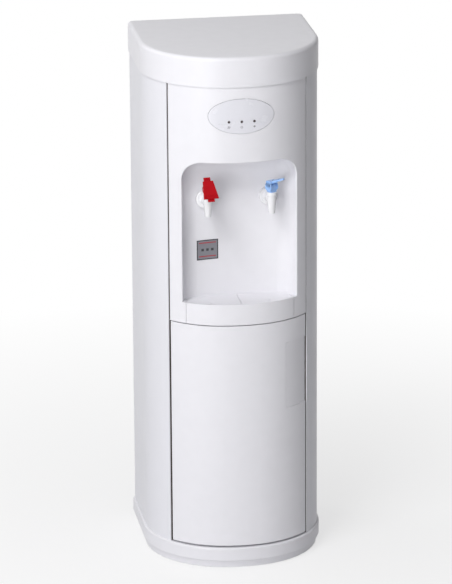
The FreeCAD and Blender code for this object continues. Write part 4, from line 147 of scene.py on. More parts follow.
class Recipe:
    """Builds one node tree."""

    def __init__(self, owner: bpy.types.Material | bpy.types.World) -> None:
        """Starts with an empty tree.

        Args:
            owner: the material or world that the nodes belong to.
        """
        self.owner = owner
        owner.use_nodes = True
        self.tree = owner.node_tree
        self.tree.nodes.clear()

    def node(self, kind: str, settings: dict | None = None, inputs: dict | None = None,
             output: int | str = 0) -> Wire | None:
        """Adds a node.

        Args:
            kind: the node's type name.
            settings: its own options, set first.
            inputs: values or wires by socket name or number.
            output: the output that is returned.

        Returns:
            The wrapped output, or None where the node has none.
        """
        made = self.tree.nodes.new(kind)
        for option, value in (settings or {}).items():
            setattr(made, option, value)
        for key, value in (inputs or {}).items():
            if isinstance(value, Wire):
                self.tree.links.new(value.socket, made.inputs[key])
            else:
                made.inputs[key].default_value = value
        return Wire(self, made.outputs[output]) if len(made.outputs) else None

    def place(self, scale: Colour = (1.0, 1.0, 1.0), turn: Colour = (0.0, 0.0, 0.0)) -> Wire:
        """Object coordinates in metres through a Mapping node.

        Args:
            scale: stretch of the pattern along each axis.
            turn: turn about each axis, in radians.

        Returns:
            The mapped coordinates.
        """
        own = self.node("ShaderNodeTexCoord", output="Object")
        return self.node("ShaderNodeMapping", None,
                         {"Vector": own, "Rotation": turn, "Scale": scale})

    def noise(self, size_mm: float, detail: float = 2.0, where: Wire | None = None,
              contrast: float = 1.0) -> Wire:
        """Smooth noise whose lumps are about size_mm across, centred on a half.

        Args:
            size_mm: size of a lump.
            detail: octaves added.
            where: coordinates, or Object coordinates as they are.
            contrast: widening about the middle value.

        Returns:
            The noise, about 0 to 1.
        """
        spot = where or self.place()
        raw = self.node("ShaderNodeTexNoise", None,
                        {"Vector": spot, "Scale": 1.0 / (size_mm * MM), "Detail": detail})
        return raw if contrast == 1.0 else (raw - MIDDLE) * contrast + MIDDLE

    def mix(self, share: Wire | float, first: "Wire | Colour", second: "Wire | Colour") -> Wire:
        """Blends two colours.

        Args:
            share: 0 for the first, 1 for the second.
            first: a colour or a wire.
            second: a colour or a wire.

        Returns:
            The blended colour.
        """
        ends = [end if isinstance(end, Wire) else (*end, 1.0) for end in (first, second)]
        return self.node("ShaderNodeMix", {"data_type": "RGBA", "clamp_factor": True},
                         {MIX_SHARE: share, MIX_FIRST: ends[0], MIX_SECOND: ends[1]}, MIX_COLOUR)

    def bump(self, height: Wire, depth_mm: float, under: Wire | None = None) -> Wire:
        """A Bump node whose height of 1 is depth_mm.

        Args:
            height: the relief.
            depth_mm: real depth of the relief.
            under: a normal to build on.

        Returns:
            The normal.
        """
        inputs = {"Strength": 1.0, "Distance": depth_mm * MM, "Height": height}
        if under is not None:
            inputs["Normal"] = under
        return self.node("ShaderNodeBump", None, inputs)

    def shaded(self, varying: dict, fixed: dict) -> bpy.types.Material:
        """Ends the recipe in a Principled shader.

        Args:
            varying: wires by socket name.
            fixed: numbers or colours set on the shader's own sockets.

        Returns:
            The material.
        """
        shader = self.node("ShaderNodeBsdfPrincipled", None, {**fixed, **varying})
        self.node("ShaderNodeOutputMaterial", None, {"Surface": shader})
        return self.owner


# ------------------------------------------------------------------ finishes

class Grain(Enum):
    """How a surface was made, which decides its relief."""

    SPARKED = "fine even grain of a spark-eroded mould"
    GLOSSY = "polished mould, with slight flow waves"
    COATED = "orange peel of powder coat"
    ROLLED = "rolled sheet with zinc crystals"
    DRAWN = "long fine lines from drawing"
    CELLULAR = "closed cells of moulded foam"
    WOVEN_BOARD = "glass weave under solder mask"


COAT_ROUGHNESS = 0.12
SCATTER_DEPTH = (0.004, 0.004, 0.004)
CRYSTAL_SIZE = 6.0
CRYSTAL_CONTRAST = 1.4
MOTTLES_A_WAVE = 4.0
MOTTLE_CONTRAST = 1.6
MOTTLE_SHARE = 0.7
FINE_SHARE = 0.3


@dataclass(frozen=True)
class Finish:
    """One surface finish. Reliefs and sizes are in millimetres, roughness runs 0 to 1."""

    name: str
    colour: Colour
    shade: Colour
    roughness: float
    grain: Grain
    grain_size: float = 0.6
    relief: float = 0.006
    wave: float = 0.02
    wave_size: float = 90.0
    spread: float = 0.08
    metallic: float = 0.0
    coat: float = 0.0
    specular: float = 0.5
    subsurface: float = 0.0

    def _cells(self, recipe: Recipe, size: float) -> Wire:
        """Cells about size across, as distances from their middles."""
        return recipe.node("ShaderNodeTexVoronoi", {"feature": "F1"},
                           {"Vector": recipe.place(), "Scale": 1.0 / (size * MM)})

    def _grain_height(self, recipe: Recipe) -> Wire:
        """The finish's fine relief.

        Args:
            recipe: the material's recipe.

        Returns:
            The relief, about 0 to 1.
        """
        if self.grain is Grain.DRAWN:
            return recipe.noise(self.grain_size, 3.0, recipe.place((1.0, 1.0, 0.02)))
        if self.grain is Grain.ROLLED:
            return recipe.noise(self.grain_size, 2.0, recipe.place((1.0, 0.15, 1.0)))
        if self.grain is Grain.CELLULAR:
            return self._cells(recipe, self.grain_size)
        if self.grain is Grain.WOVEN_BOARD:
            spot = recipe.place(turn=(0.0, 0.0, math.radians(45)))
            return recipe.noise(self.grain_size, 1.0, spot)
        detail = {Grain.SPARKED: 3.0, Grain.GLOSSY: 0.0, Grain.COATED: 1.0}[self.grain]
        return recipe.noise(self.grain_size, detail)

    def make(self) -> bpy.types.Material:
        """Builds the material.

        Returns:
            The finished material.
        """
        recipe = Recipe(bpy.data.materials.new(self.name))
        fine = self._grain_height(recipe)
        broad = recipe.noise(self.wave_size, 1.0)
        mottle = recipe.noise(self.wave_size / MOTTLES_A_WAVE, 4.0, contrast=MOTTLE_CONTRAST)
        normal = recipe.bump(fine, self.relief, recipe.bump(broad, self.wave))
        share = (mottle * MOTTLE_SHARE + fine * FINE_SHARE).at_most(1.0).at_least(0.0)
        colour = recipe.mix(share, self.colour, self.shade)
        if self.grain is Grain.ROLLED:
            crystals = self._cells(recipe, CRYSTAL_SIZE) * CRYSTAL_CONTRAST
            colour = recipe.mix(crystals.at_most(1.0), colour, self.shade)
        roughness = (mottle - MIDDLE) * self.spread + self.roughness
        fixed = {"Metallic": self.metallic, "Specular IOR Level": self.specular}
        if self.coat:
            fixed["Coat Weight"] = self.coat
            fixed["Coat Roughness"] = COAT_ROUGHNESS
        if self.subsurface:
            fixed["Subsurface Weight"] = self.subsurface
            fixed["Subsurface Radius"] = SCATTER_DEPTH
        varying = {"Base Color": colour, "Roughness": roughness, "Normal": normal}
        return recipe.shaded(varying, fixed)


MOULDED_SHADE = 0.965


def moulded(name: str, colour: Colour, roughness: float, **more: float) -> Finish:
    """A satin injection moulding of one linear colour; more holds other fields of Finish."""
    shade = tuple(part * MOULDED_SHADE for part in colour)
    return Finish(name, colour, shade, roughness, Grain.SPARKED, **more)


WHITE = (0.80, 0.795, 0.83)
FINISHES = {finish.name: finish for finish in (
    moulded("shell_plastic", WHITE, 0.36, specular=0.38),
    moulded("door_plastic", WHITE, 0.38, specular=0.38),
    moulded("plinth_plastic", (0.78, 0.775, 0.81), 0.38, specular=0.38),
    Finish("side_paint", (0.77, 0.77, 0.81), (0.75, 0.75, 0.79), 0.40, Grain.COATED,
           grain_size=1.8, relief=0.010, wave=0.05, wave_size=160.0, specular=0.38),
    moulded("liner_plastic", (0.68, 0.69, 0.72), 0.52, relief=0.012),
    # slot_trim: near-black brown strips behind the door's side gaps, painted shade, a dark sheet
    # standing in for the shade inside the gaps.
    moulded("slot_trim", (0.045, 0.028, 0.022), 0.6),
    moulded("badge_plastic", (0.74, 0.74, 0.79), 0.26, coat=0.3),
    Finish("lamp_lens", (0.050, 0.030, 0.034), (0.035, 0.022, 0.026), 0.12, Grain.GLOSSY,
           grain_size=1.5, relief=0.002, wave=0.0, coat=0.6),
    Finish("circuit_board", (0.015, 0.11, 0.04), (0.012, 0.08, 0.03), 0.4, Grain.WOVEN_BOARD,
           grain_size=0.5),
    Finish("zinc_steel", (0.50, 0.51, 0.53), (0.36, 0.37, 0.39), 0.42, Grain.ROLLED,
           grain_size=1.0, relief=0.004, metallic=0.9),
    Finish("stainless", (0.56, 0.56, 0.57), (0.48, 0.48, 0.49), 0.28, Grain.DRAWN, grain_size=0.5,
           relief=0.003, metallic=1.0),
    Finish("foam", (0.70, 0.66, 0.56), (0.60, 0.55, 0.44), 0.9, Grain.CELLULAR, grain_size=2.2,
           relief=0.25, specular=0.2),
    Finish("black_paint", (0.012, 0.012, 0.014), (0.020, 0.020, 0.022), 0.30, Grain.COATED,
           grain_size=2.5, relief=0.02),
    Finish("condenser_paint", (0.014, 0.014, 0.016), (0.026, 0.026, 0.028), 0.42, Grain.COATED,
           grain_size=1.5, relief=0.015),
    Finish("black_rubber", (0.016, 0.016, 0.016), (0.030, 0.030, 0.030), 0.75, Grain.SPARKED,
           grain_size=0.8, relief=0.03, specular=0.3),
    moulded("pump_plastic", (0.035, 0.038, 0.042), 0.5),
    moulded("hose_plastic", (0.72, 0.75, 0.76), 0.34, subsurface=0.25),
    moulded("tap_white", (0.83, 0.83, 0.85), 0.22, coat=0.3),
    Finish("hot_red", (0.50, 0.002, 0.008), (0.36, 0.001, 0.005), 0.42, Grain.GLOSSY,
           grain_size=2.0, relief=0.006, wave=0.01, specular=0.18),
    Finish("cold_blue", (0.34, 0.55, 0.90), (0.28, 0.48, 0.86), 0.28, Grain.GLOSSY, grain_size=2.0,
           relief=0.006, wave=0.01, coat=0.2, subsurface=0.3),
    moulded("white_silicone", (0.62, 0.60, 0.56), 0.55, subsurface=0.2),
    Finish("brass_nut", (0.52, 0.33, 0.09), (0.42, 0.26, 0.07), 0.32, Grain.DRAWN, grain_size=0.4,
           metallic=1.0),
    Finish("pin_steel", (0.50, 0.50, 0.52), (0.42, 0.42, 0.44), 0.26, Grain.DRAWN, grain_size=0.4,
           metallic=1.0),
    moulded("bush_nylon", (0.60, 0.57, 0.48), 0.48, subsurface=0.2),
    moulded("magnet_black", (0.012, 0.012, 0.013), 0.55),
    moulded("rocker_red", (0.45, 0.010, 0.010), 0.24, coat=0.4),
    moulded("rocker_green", (0.006, 0.14, 0.026), 0.24, coat=0.4),
    moulded("fitting_black", (0.012, 0.012, 0.013), 0.42),
    moulded("print_grey", (0.10, 0.095, 0.11), 0.5),
    moulded("plate_grey", (0.20, 0.20, 0.225), 0.34, coat=0.3),
    moulded("plate_frame", (0.030, 0.030, 0.036), 0.4),
    moulded("plate_red", (0.34, 0.035, 0.05), 0.4),
    moulded("mark_white", (0.80, 0.80, 0.80), 0.4),
)}
MADE: dict[str, bpy.types.Material] = {}


def finish_of(name: str) -> bpy.types.Material:
    """The material of a finish, built when first asked for.

    Args:
        name: a key of FINISHES.

    Returns:
        The material.
    """
    if name not in MADE:
        MADE[name] = FINISHES[name].make()
    return MADE[name]


# ------------------------------------------------------------------ shaping kit

def as_data(mesh: bmesh.types.BMesh, name: str) -> bpy.types.Mesh:
    """Writes a bmesh out as mesh data and ends it.

    Args:
        mesh: the bmesh.
        name: the data's name.

    Returns:
        The mesh data.
    """
    data = bpy.data.meshes.new(name)
    mesh.to_mesh(data)
    mesh.free()
    return data


def placed(name: str, data: bpy.types.ID) -> bpy.types.Object:
    """Puts an object in the scene.

    Args:
        name: the object's name.
        data: its mesh, lamp or camera data.

    Returns:
        The object.
    """
    made = bpy.data.objects.new(name, data)
    bpy.context.scene.collection.objects.link(made)
    return made


def verts_in(geom: Iterable) -> list:
    """The vertices among the elements that a bmesh operator gave back."""
    return [item for item in geom if isinstance(item, bmesh.types.BMVert)]


def edges_in(geom: Iterable) -> list:
    """The edges among the elements that a bmesh operator gave back."""
    return [item for item in geom if isinstance(item, bmesh.types.BMEdge)]


class Shaper:
    """One piece in the making, shaped by bmesh operators. Lengths are millimetres."""

    def __init__(self) -> None:
        """Starts empty."""
        self.mesh = bmesh.new()

    @staticmethod
    def of_node(node: str) -> "Shaper":
        """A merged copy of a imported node, with its flat areas joined up.

        Args:
            node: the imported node's name.

        Returns:
            The copy.
        """
        made = Shaper()
        made.mesh.from_mesh(frame["nodes"][node].data)
        bmesh.ops.scale(made.mesh, vec=(1 / MM,) * 3, verts=made.mesh.verts)
        bmesh.ops.remove_doubles(made.mesh, verts=made.mesh.verts, dist=MERGE)
        bmesh.ops.dissolve_degenerate(made.mesh, dist=MERGE, edges=made.mesh.edges)
        bmesh.ops.dissolve_limit(made.mesh, angle_limit=math.radians(FLAT_DEG),
                                 verts=made.mesh.verts, edges=made.mesh.edges)
        return made

    def _rounded(self, edges: list, radius: float, steps: int) -> "Shaper":
        """Rounds edges.

        Args:
            edges: the edges.
            radius: width of the rounding.
            steps: its segments.

        Returns:
            self.
        """
        bmesh.ops.bevel(self.mesh, geom=edges, offset=radius, offset_type="OFFSET",
                        affect="EDGES", segments=steps, profile=0.5, material=-1,
                        clamp_overlap=True, loop_slide=True)
        return self

    def softened(self, radius: float, steps: int = 2, turn_deg: float = 40.0) -> "Shaper":
        """Rounds the sharp edges.

        Args:
            radius: width of the rounding.
            steps: its segments.
            turn_deg: least turn of an edge that is rounded.

        Returns:
            self.
        """
        least = math.radians(turn_deg)
        sharp = [edge for edge in self.mesh.edges
                 if edge.is_manifold and edge.calc_face_angle(0.0) > least]
        return self._rounded(sharp, radius, steps)

    def block(self, low: Point, high: Point, round_off: float) -> "Shaper":
        """Adds a block, its edges rounded off.

        Args:
            low: lowest corner.
            high: highest corner.
            round_off: width of its rounded edges.

        Returns:
            self.
        """
        size = Vector(high) - Vector(low)
        centre = (Vector(high) + Vector(low)) / 2
        verts = bmesh.ops.create_cube(self.mesh, size=1.0)["verts"]
        bmesh.ops.scale(self.mesh, vec=size, verts=verts)
        bmesh.ops.translate(self.mesh, vec=centre, verts=verts)
        edges = list({edge for vert in verts for edge in vert.link_edges})
        return self._rounded(edges, round_off, 2)

    def _spun(self, points: Outline, steps: int, closed: bool, turn_deg: float = 360.0,
              start_deg: float = 0.0) -> "Shaper":
        """Spins (radius, height) points about Z.

        Args:
            points: the points in order.
            steps: segments round the axis.
            closed: True for a loop clear of the axis, False where both ends lie on it.
            turn_deg: how far it goes round; the ends of a part turn are closed.
            start_deg: where it starts, from +X.

        Returns:
            self.
        """
        verts = [self.mesh.verts.new((radius, 0.0, height)) for radius, height in points]
        pairs = zip(verts, verts[1:] + verts[:1] if closed else verts[1:])
        edges = [self.mesh.edges.new(pair) for pair in pairs]
        bmesh.ops.rotate(self.mesh, cent=(0, 0, 0), verts=verts,
                         matrix=Matrix.Rotation(math.radians(start_deg), 3, "Z"))
        whole = turn_deg >= 360.0
        out = bmesh.ops.spin(self.mesh, geom=verts + edges, axis=(0, 0, 1), cent=(0, 0, 0),
                             dvec=(0, 0, 0), angle=math.radians(turn_deg), steps=steps,
                             use_merge=whole)
        if not whole:
            bmesh.ops.contextual_create(self.mesh, geom=edges)
            bmesh.ops.contextual_create(self.mesh, geom=edges_in(out["geom_last"]))
        if not closed:
            bmesh.ops.remove_doubles(self.mesh, verts=self.mesh.verts, dist=WELD)
        bmesh.ops.recalc_face_normals(self.mesh, faces=self.mesh.faces)
        return self

    def turned(self, points: Outline, steps: int) -> "Shaper":
        """Adds a solid turned from points whose ends lie on the Z axis."""
        return self._spun(points, steps, False)

    def sleeve(self, points: Outline, steps: int) -> "Shaper":
        """Adds a bored solid turned from a loop of points clear of the Z axis."""
        return self._spun(points, steps, True)

    def plate(self, points: Outline, low: float, high: float) -> "Shaper":
        """Adds an upright prism on an outline in the XY plane.

        Args:
            points: its corners in order.
            low: height of its underside.
            high: height of its top.

        Returns:
            self.
        """
        verts = [self.mesh.verts.new((x, y, low)) for x, y in points]
        face = self.mesh.faces.new(verts)
        out = bmesh.ops.extrude_face_region(self.mesh, geom=[face])["geom"]
        bmesh.ops.translate(self.mesh, vec=(0, 0, high - low), verts=verts_in(out))
        bmesh.ops.recalc_face_normals(self.mesh, faces=self.mesh.faces)
        return self

    def washer(self, inner: float, outer: float, low: float, high: float, steps: int,
               turn_deg: float = 360.0, start_deg: float = 0.0, edge: float = 0.0) -> "Shaper":
        """Adds a ring, or a part of one, about Z.

        Args:
            inner: inner radius.
            outer: outer radius.
            low: height of its underside.
            high: height of its top.
            steps: segments round the axis.
            turn_deg: how far it goes round.
            start_deg: where it starts, from +X.
            edge: chamfer of its outer corners.

        Returns:
            self.
        """
        rim = [(outer, low), (outer, high)]
        if edge:
            rim = [(outer - edge, low), (outer, low + edge), (outer, high - edge),
                   (outer - edge, high)]
        return self._spun([(inner, low), *rim, (inner, high)], steps, True, turn_deg, start_deg)

    def take(self, other: "Shaper") -> "Shaper":
        """Adds another shaper's mesh.

        Args:
            other: the shaper, which ends with this.

        Returns:
            self.
        """
        data = as_data(other.mesh, "passing")
        self.mesh.from_mesh(data)
        bpy.data.meshes.remove(data)
        return self

    def moved(self, vec: Point) -> "Shaper":
        """Moves the whole piece by vec."""
        bmesh.ops.translate(self.mesh, vec=vec, verts=self.mesh.verts)
        return self

    def swung(self, angle_deg: float, axis: str) -> "Shaper":
        """Turns the whole piece.

        Args:
            angle_deg: the turn.
            axis: "X", "Y" or "Z", through the origin.

        Returns:
            self.
        """
        turn = Matrix.Rotation(math.radians(angle_deg), 3, axis)
        bmesh.ops.rotate(self.mesh, cent=(0, 0, 0), matrix=turn, verts=self.mesh.verts)
        return self

    def bent(self, surface: Callable[[float], float]) -> "Shaper":
        """Moves every point along Y by surface(x), to lie on a wall that curves in plan.

        Args:
            surface: gives the wall's y at an x.

        Returns:
            self.
        """
        for vert in self.mesh.verts:
            vert.co.y += surface(vert.co.x)
        return self

    def piece(self, name: str, body: str, finish: str, slot: str = "",
              stands_for: Iterable[str] = ()) -> bpy.types.Object:
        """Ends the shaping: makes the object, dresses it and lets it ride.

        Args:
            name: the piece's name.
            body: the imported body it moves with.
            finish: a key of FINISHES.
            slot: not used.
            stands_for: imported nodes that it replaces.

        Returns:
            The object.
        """
        bmesh.ops.scale(self.mesh, vec=(MM,) * 3, verts=self.mesh.verts)
        data = as_data(self.mesh, name)
        data.shade_smooth()
        data.set_sharp_from_angle(angle=math.radians(CRISP_DEG))
        data.materials.append(finish_of(finish))
        made = placed(name, data)
        weighted = made.modifiers.new("even_normals", "WEIGHTED_NORMAL")
        weighted.keep_sharp = True
        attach(made, body)
        if stands_for:
            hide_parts(*stands_for)
        LOG.info("%s: %d faces", name, len(data.polygons))
        return made


def dress(node: str) -> None:
    """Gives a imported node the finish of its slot.

    Args:
        node: the node's name.
    """
    data = frame["nodes"][node].data
    data.materials.clear()
    data.materials.append(finish_of(SLOT_OF_NODE[node]))


@dataclass
class Assembly:
    """What every sub-assembly has: nodes to copy finely, and nodes to dress as packed."""

    softened: dict[str, float] = field(default_factory=dict)
    as_packed: tuple[str, ...] = ()

    def body_of(self, node: str) -> str:
        """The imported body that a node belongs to."""
        return frame["nodes"][node]["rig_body"]

    def stand_in(self, node: str, radius: float) -> bpy.types.Object:
        """Replaces a node with a merged copy whose edges are softened.

        Args:
            node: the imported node.
            radius: width of its softened edges.

        Returns:
            The piece.
        """
        shaper = Shaper.of_node(node).softened(radius)
        slot = SLOT_OF_NODE[node]
        return shaper.piece(node + "_shape", self.body_of(node), slot, slot, [node])

    def build(self) -> None:
        """Makes and dresses the sub-assembly."""
        for node, radius in self.softened.items():
            self.stand_in(node, radius)
        for node in self.as_packed:
            dress(node)
        self.extras()

    def extras(self) -> None:
        """Pieces of the sub-assembly's own; none unless it says so."""


@dataclass
class Bow:
    """The front's plan: a large arc whose centre lies on the middle plane."""

    radius: float = 235.0
    centre_y: float = 69.0

    def y(self, x: float) -> float:
        """The front's y at an x."""
        return self.centre_y - math.sqrt(self.radius ** 2 - x * x)


# ------------------------------------------------------------------ sub-assemblies

@dataclass
class Cabinet(Assembly):
    """Side panels, back, cap, plinth, and the screws that hold the back."""

    # edge_trims are dressed as near-black strips behind the door's gaps: painted shade in place of
    # the darkness inside the gaps.
    as_packed: tuple[str, ...] = ("left_side_panel", "right_side_panel", "top_cap", "base_plinth",
                                  "back_panel", "feet", "edge_trims")
    screw_x: float = 163.0
    screw_rows: int = 5
    screw_turn: float = 23.0
    head_r: float = 4.0
    head_top_r: float = 2.8
    head_t: float = 2.2
    shank_r: float = 1.9
    shank_l: float = 8.0
    cross_half: float = 1.9
    cross_w: float = 0.35
    cross_deep: float = 1.1
    rounds: int = 24

    def _screw(self) -> Shaper:
        """Shapes one screw at the origin, head up, its cross sunk into the head.

        Returns:
            The screw.
        """
        screw = Shaper()
        mesh = screw.mesh
        top = bmesh.ops.create_circle(mesh, cap_ends=False, segments=self.rounds,
                                      radius=self.head_top_r)["verts"]
        half, arm = self.cross_half, self.cross_w
        corners = [(half, -arm), (half, arm), (arm, arm), (arm, half), (-arm, half), (-arm, arm),
                   (-half, arm), (-half, -arm), (-arm, -arm), (-arm, -half), (arm, -half),
                   (arm, -arm)]
        cross = [mesh.verts.new((x, y, 0.0)) for x, y in corners]
        inner = [mesh.edges.new(pair) for pair in zip(cross, cross[1:] + cross[:1])]
        rim = list({edge for vert in top for edge in vert.link_edges})
        bmesh.ops.bridge_loops(mesh, edges=rim + inner)
        pit = bmesh.ops.extrude_edge_only(mesh, edges=inner)["geom"]
        bmesh.ops.translate(mesh, vec=(0, 0, -self.cross_deep), verts=verts_in(pit))
        bmesh.ops.contextual_create(mesh, geom=edges_in(pit))
        for radius, drop in ((self.head_r, self.head_t), (self.shank_r, 0.0),
                             (self.shank_r, self.shank_l)):
            ring = bmesh.ops.extrude_edge_only(mesh, edges=rim)["geom"]
            verts = verts_in(ring)
            rim = [edge for edge in edges_in(ring)
                   if edge.verts[0] in verts and edge.verts[1] in verts]
            scale = radius / math.hypot(verts[0].co.x, verts[0].co.y)
            bmesh.ops.scale(mesh, vec=(scale, scale, 1.0), verts=verts)
            bmesh.ops.translate(mesh, vec=(0, 0, -drop), verts=verts)
        bmesh.ops.contextual_create(mesh, geom=rim)
        bmesh.ops.recalc_face_normals(mesh, faces=mesh.faces)
        return screw

    def extras(self) -> None:
        """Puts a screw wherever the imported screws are, each turned a little differently."""
        low, high = (Vector(corner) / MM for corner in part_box("panel_screws"))
        first = low.z + self.head_r
        pitch = (high.z - low.z - 2 * self.head_r) / (self.screw_rows - 1)
        screws = Shaper()
        for index in range(2 * self.screw_rows):
            x = -self.screw_x if index % 2 else self.screw_x
            one = self._screw().swung(self.screw_turn * index, "Z").swung(-90, "X")
            screws.take(one.moved((x, high.y, first + (index // 2) * pitch)))
        screws.piece("back_screws", "cabinet", "zinc_steel", "zinc_steel", ["panel_screws"])


@dataclass
class Fascia(Assembly):
    """Front moulding with its niche, and the plate on the niche's wall."""

    as_packed: tuple[str, ...] = ("upper_fascia",)
    wall_radius: float = 352.0
    wall_back: float = -84.0
    plate_x: float = -58.0
    plate_z: float = 650.0
    half_w: float = 22.0
    half_h: float = 20.5
    border: float = 2.0
    line_in: float = 4.5
    line_w: float = 2.2
    line_below_top: float = 5.0
    line_over_foot: float = 6.0
    square_half: float = 2.6
    squares_at: tuple[float, ...] = (-10.0, 0.0, 10.0)
    frame_proud: float = 0.5
    field_proud: float = 0.6
    print_proud: float = 0.7
    sunk: float = 0.1
    edge_r: float = 0.05
    bend_cuts: int = 6
    long_edge: float = 4.0

    def wall_y(self, x: float) -> float:
        """The niche's back wall at an x."""
        return self.wall_back - self.wall_radius + math.sqrt(self.wall_radius ** 2 - x * x)

    def extras(self) -> None:
        """Adds the plain plate: frame, field, two red lines and three squares."""
        half_w, half_h, edge = self.half_w, self.half_h, self.border
        bar = half_w - self.line_in
        top, foot = half_h - self.line_below_top, self.line_over_foot - half_h
        square = self.square_half
        layers = (
            ("plate_frame", "plate_frame", self.frame_proud, [(-half_w, half_w, -half_h, half_h)]),
            ("plate_field", "plate_grey", self.field_proud,
             [(edge - half_w, half_w - edge, edge - half_h, half_h - edge)]),
            ("plate_lines", "plate_red", self.print_proud,
             [(-bar, bar, top - self.line_w, top), (-bar, bar, foot, foot + self.line_w)]),
            ("plate_squares", "plate_frame", self.print_proud,
             [(x - square, x + square, -square, square) for x in self.squares_at]),
        )
        for name, finish, proud, areas in layers:
            shaper = Shaper()
            for x0, x1, z0, z1 in areas:
                shaper.block((x0 + self.plate_x, -proud, z0 + self.plate_z),
                             (x1 + self.plate_x, self.sunk, z1 + self.plate_z), self.edge_r)
            long = [run for run in shaper.mesh.edges
                    if abs(run.verts[0].co.x - run.verts[1].co.x) > self.long_edge]
            bmesh.ops.subdivide_edges(shaper.mesh, cuts=self.bend_cuts, edges=long)
            shaper.bent(self.wall_y).piece(name, "cabinet", finish)


@dataclass
class Badge(Assembly):
    """Oval cover with three lamps and a small plain symbol under each."""

    as_packed: tuple[str, ...] = ("indicator_badge", "lamp_hot", "lamp_power", "lamp_cold",
                                  "control_board")
    pitch: float = 25.2
    symbol_z: float = 919.5
    symbol_size: float = 2.4
    line: float = 0.7
    steam_deg: float = 78.0
    steam_pitch: float = 1.8
    ring_turn: float = 280.0
    ring_start: float = 130.0
    ring_rounds: int = 20
    ring_bar_up: float = 1.44
    star_turns: tuple[float, ...] = (90.0, 30.0, 150.0)
    thick: float = 0.48
    sunk: float = 0.1
    bow: Bow = field(default_factory=Bow)

    def _bar(self, shaper: Shaper, length: float, turn_deg: float, x: float = 0.0,
             y: float = 0.0) -> None:
        """Adds one thin stroke, flat in the XY plane.

        Args:
            shaper: takes the stroke.
            length: its length.
            turn_deg: its direction, from +X.
            x: its middle.
            y: its middle.
        """
        angle = math.radians(turn_deg)
        along = Vector((math.cos(angle), math.sin(angle))) * length / 2
        across = Vector((-math.sin(angle), math.cos(angle))) * self.line / 2
        centre = Vector((x, y))
        corners = (centre - along - across, centre + along - across, centre + along + across,
                   centre - along + across)
        shaper.plate([tuple(corner) for corner in corners], 0.0, self.thick)

    def _steam(self, shaper: Shaper) -> None:
        """Three rising lines, for hot."""
        for step in (-1, 0, 1):
            self._bar(shaper, 2 * self.symbol_size, self.steam_deg, step * self.steam_pitch)

    def _power(self, shaper: Shaper) -> None:
        """An open ring with a bar, for power.

        Args:
            shaper: takes the symbol.
        """
        size = self.symbol_size
        shaper.washer(size - self.line, size, 0.0, self.thick, self.ring_rounds, self.ring_turn,
                      self.ring_start)
        self._bar(shaper, size, 90.0, 0.0, self.ring_bar_up)

    def _star(self, shaper: Shaper) -> None:
        """Six arms, for cold."""
        for turn in self.star_turns:
            self._bar(shaper, 2 * self.symbol_size, turn)

    def extras(self) -> None:
        """Adds a symbol under each lamp."""
        symbols = (("symbol_hot", -self.pitch, self._steam), ("symbol_power", 0.0, self._power),
                   ("symbol_cold", self.pitch, self._star))
        for name, x, draw in symbols:
            shaper = Shaper()
            draw(shaper)
            shaper.swung(90, "X").moved((x, self.sunk, self.symbol_z))
            shaper.bent(self.bow.y).piece(name, "cabinet", "print_grey")


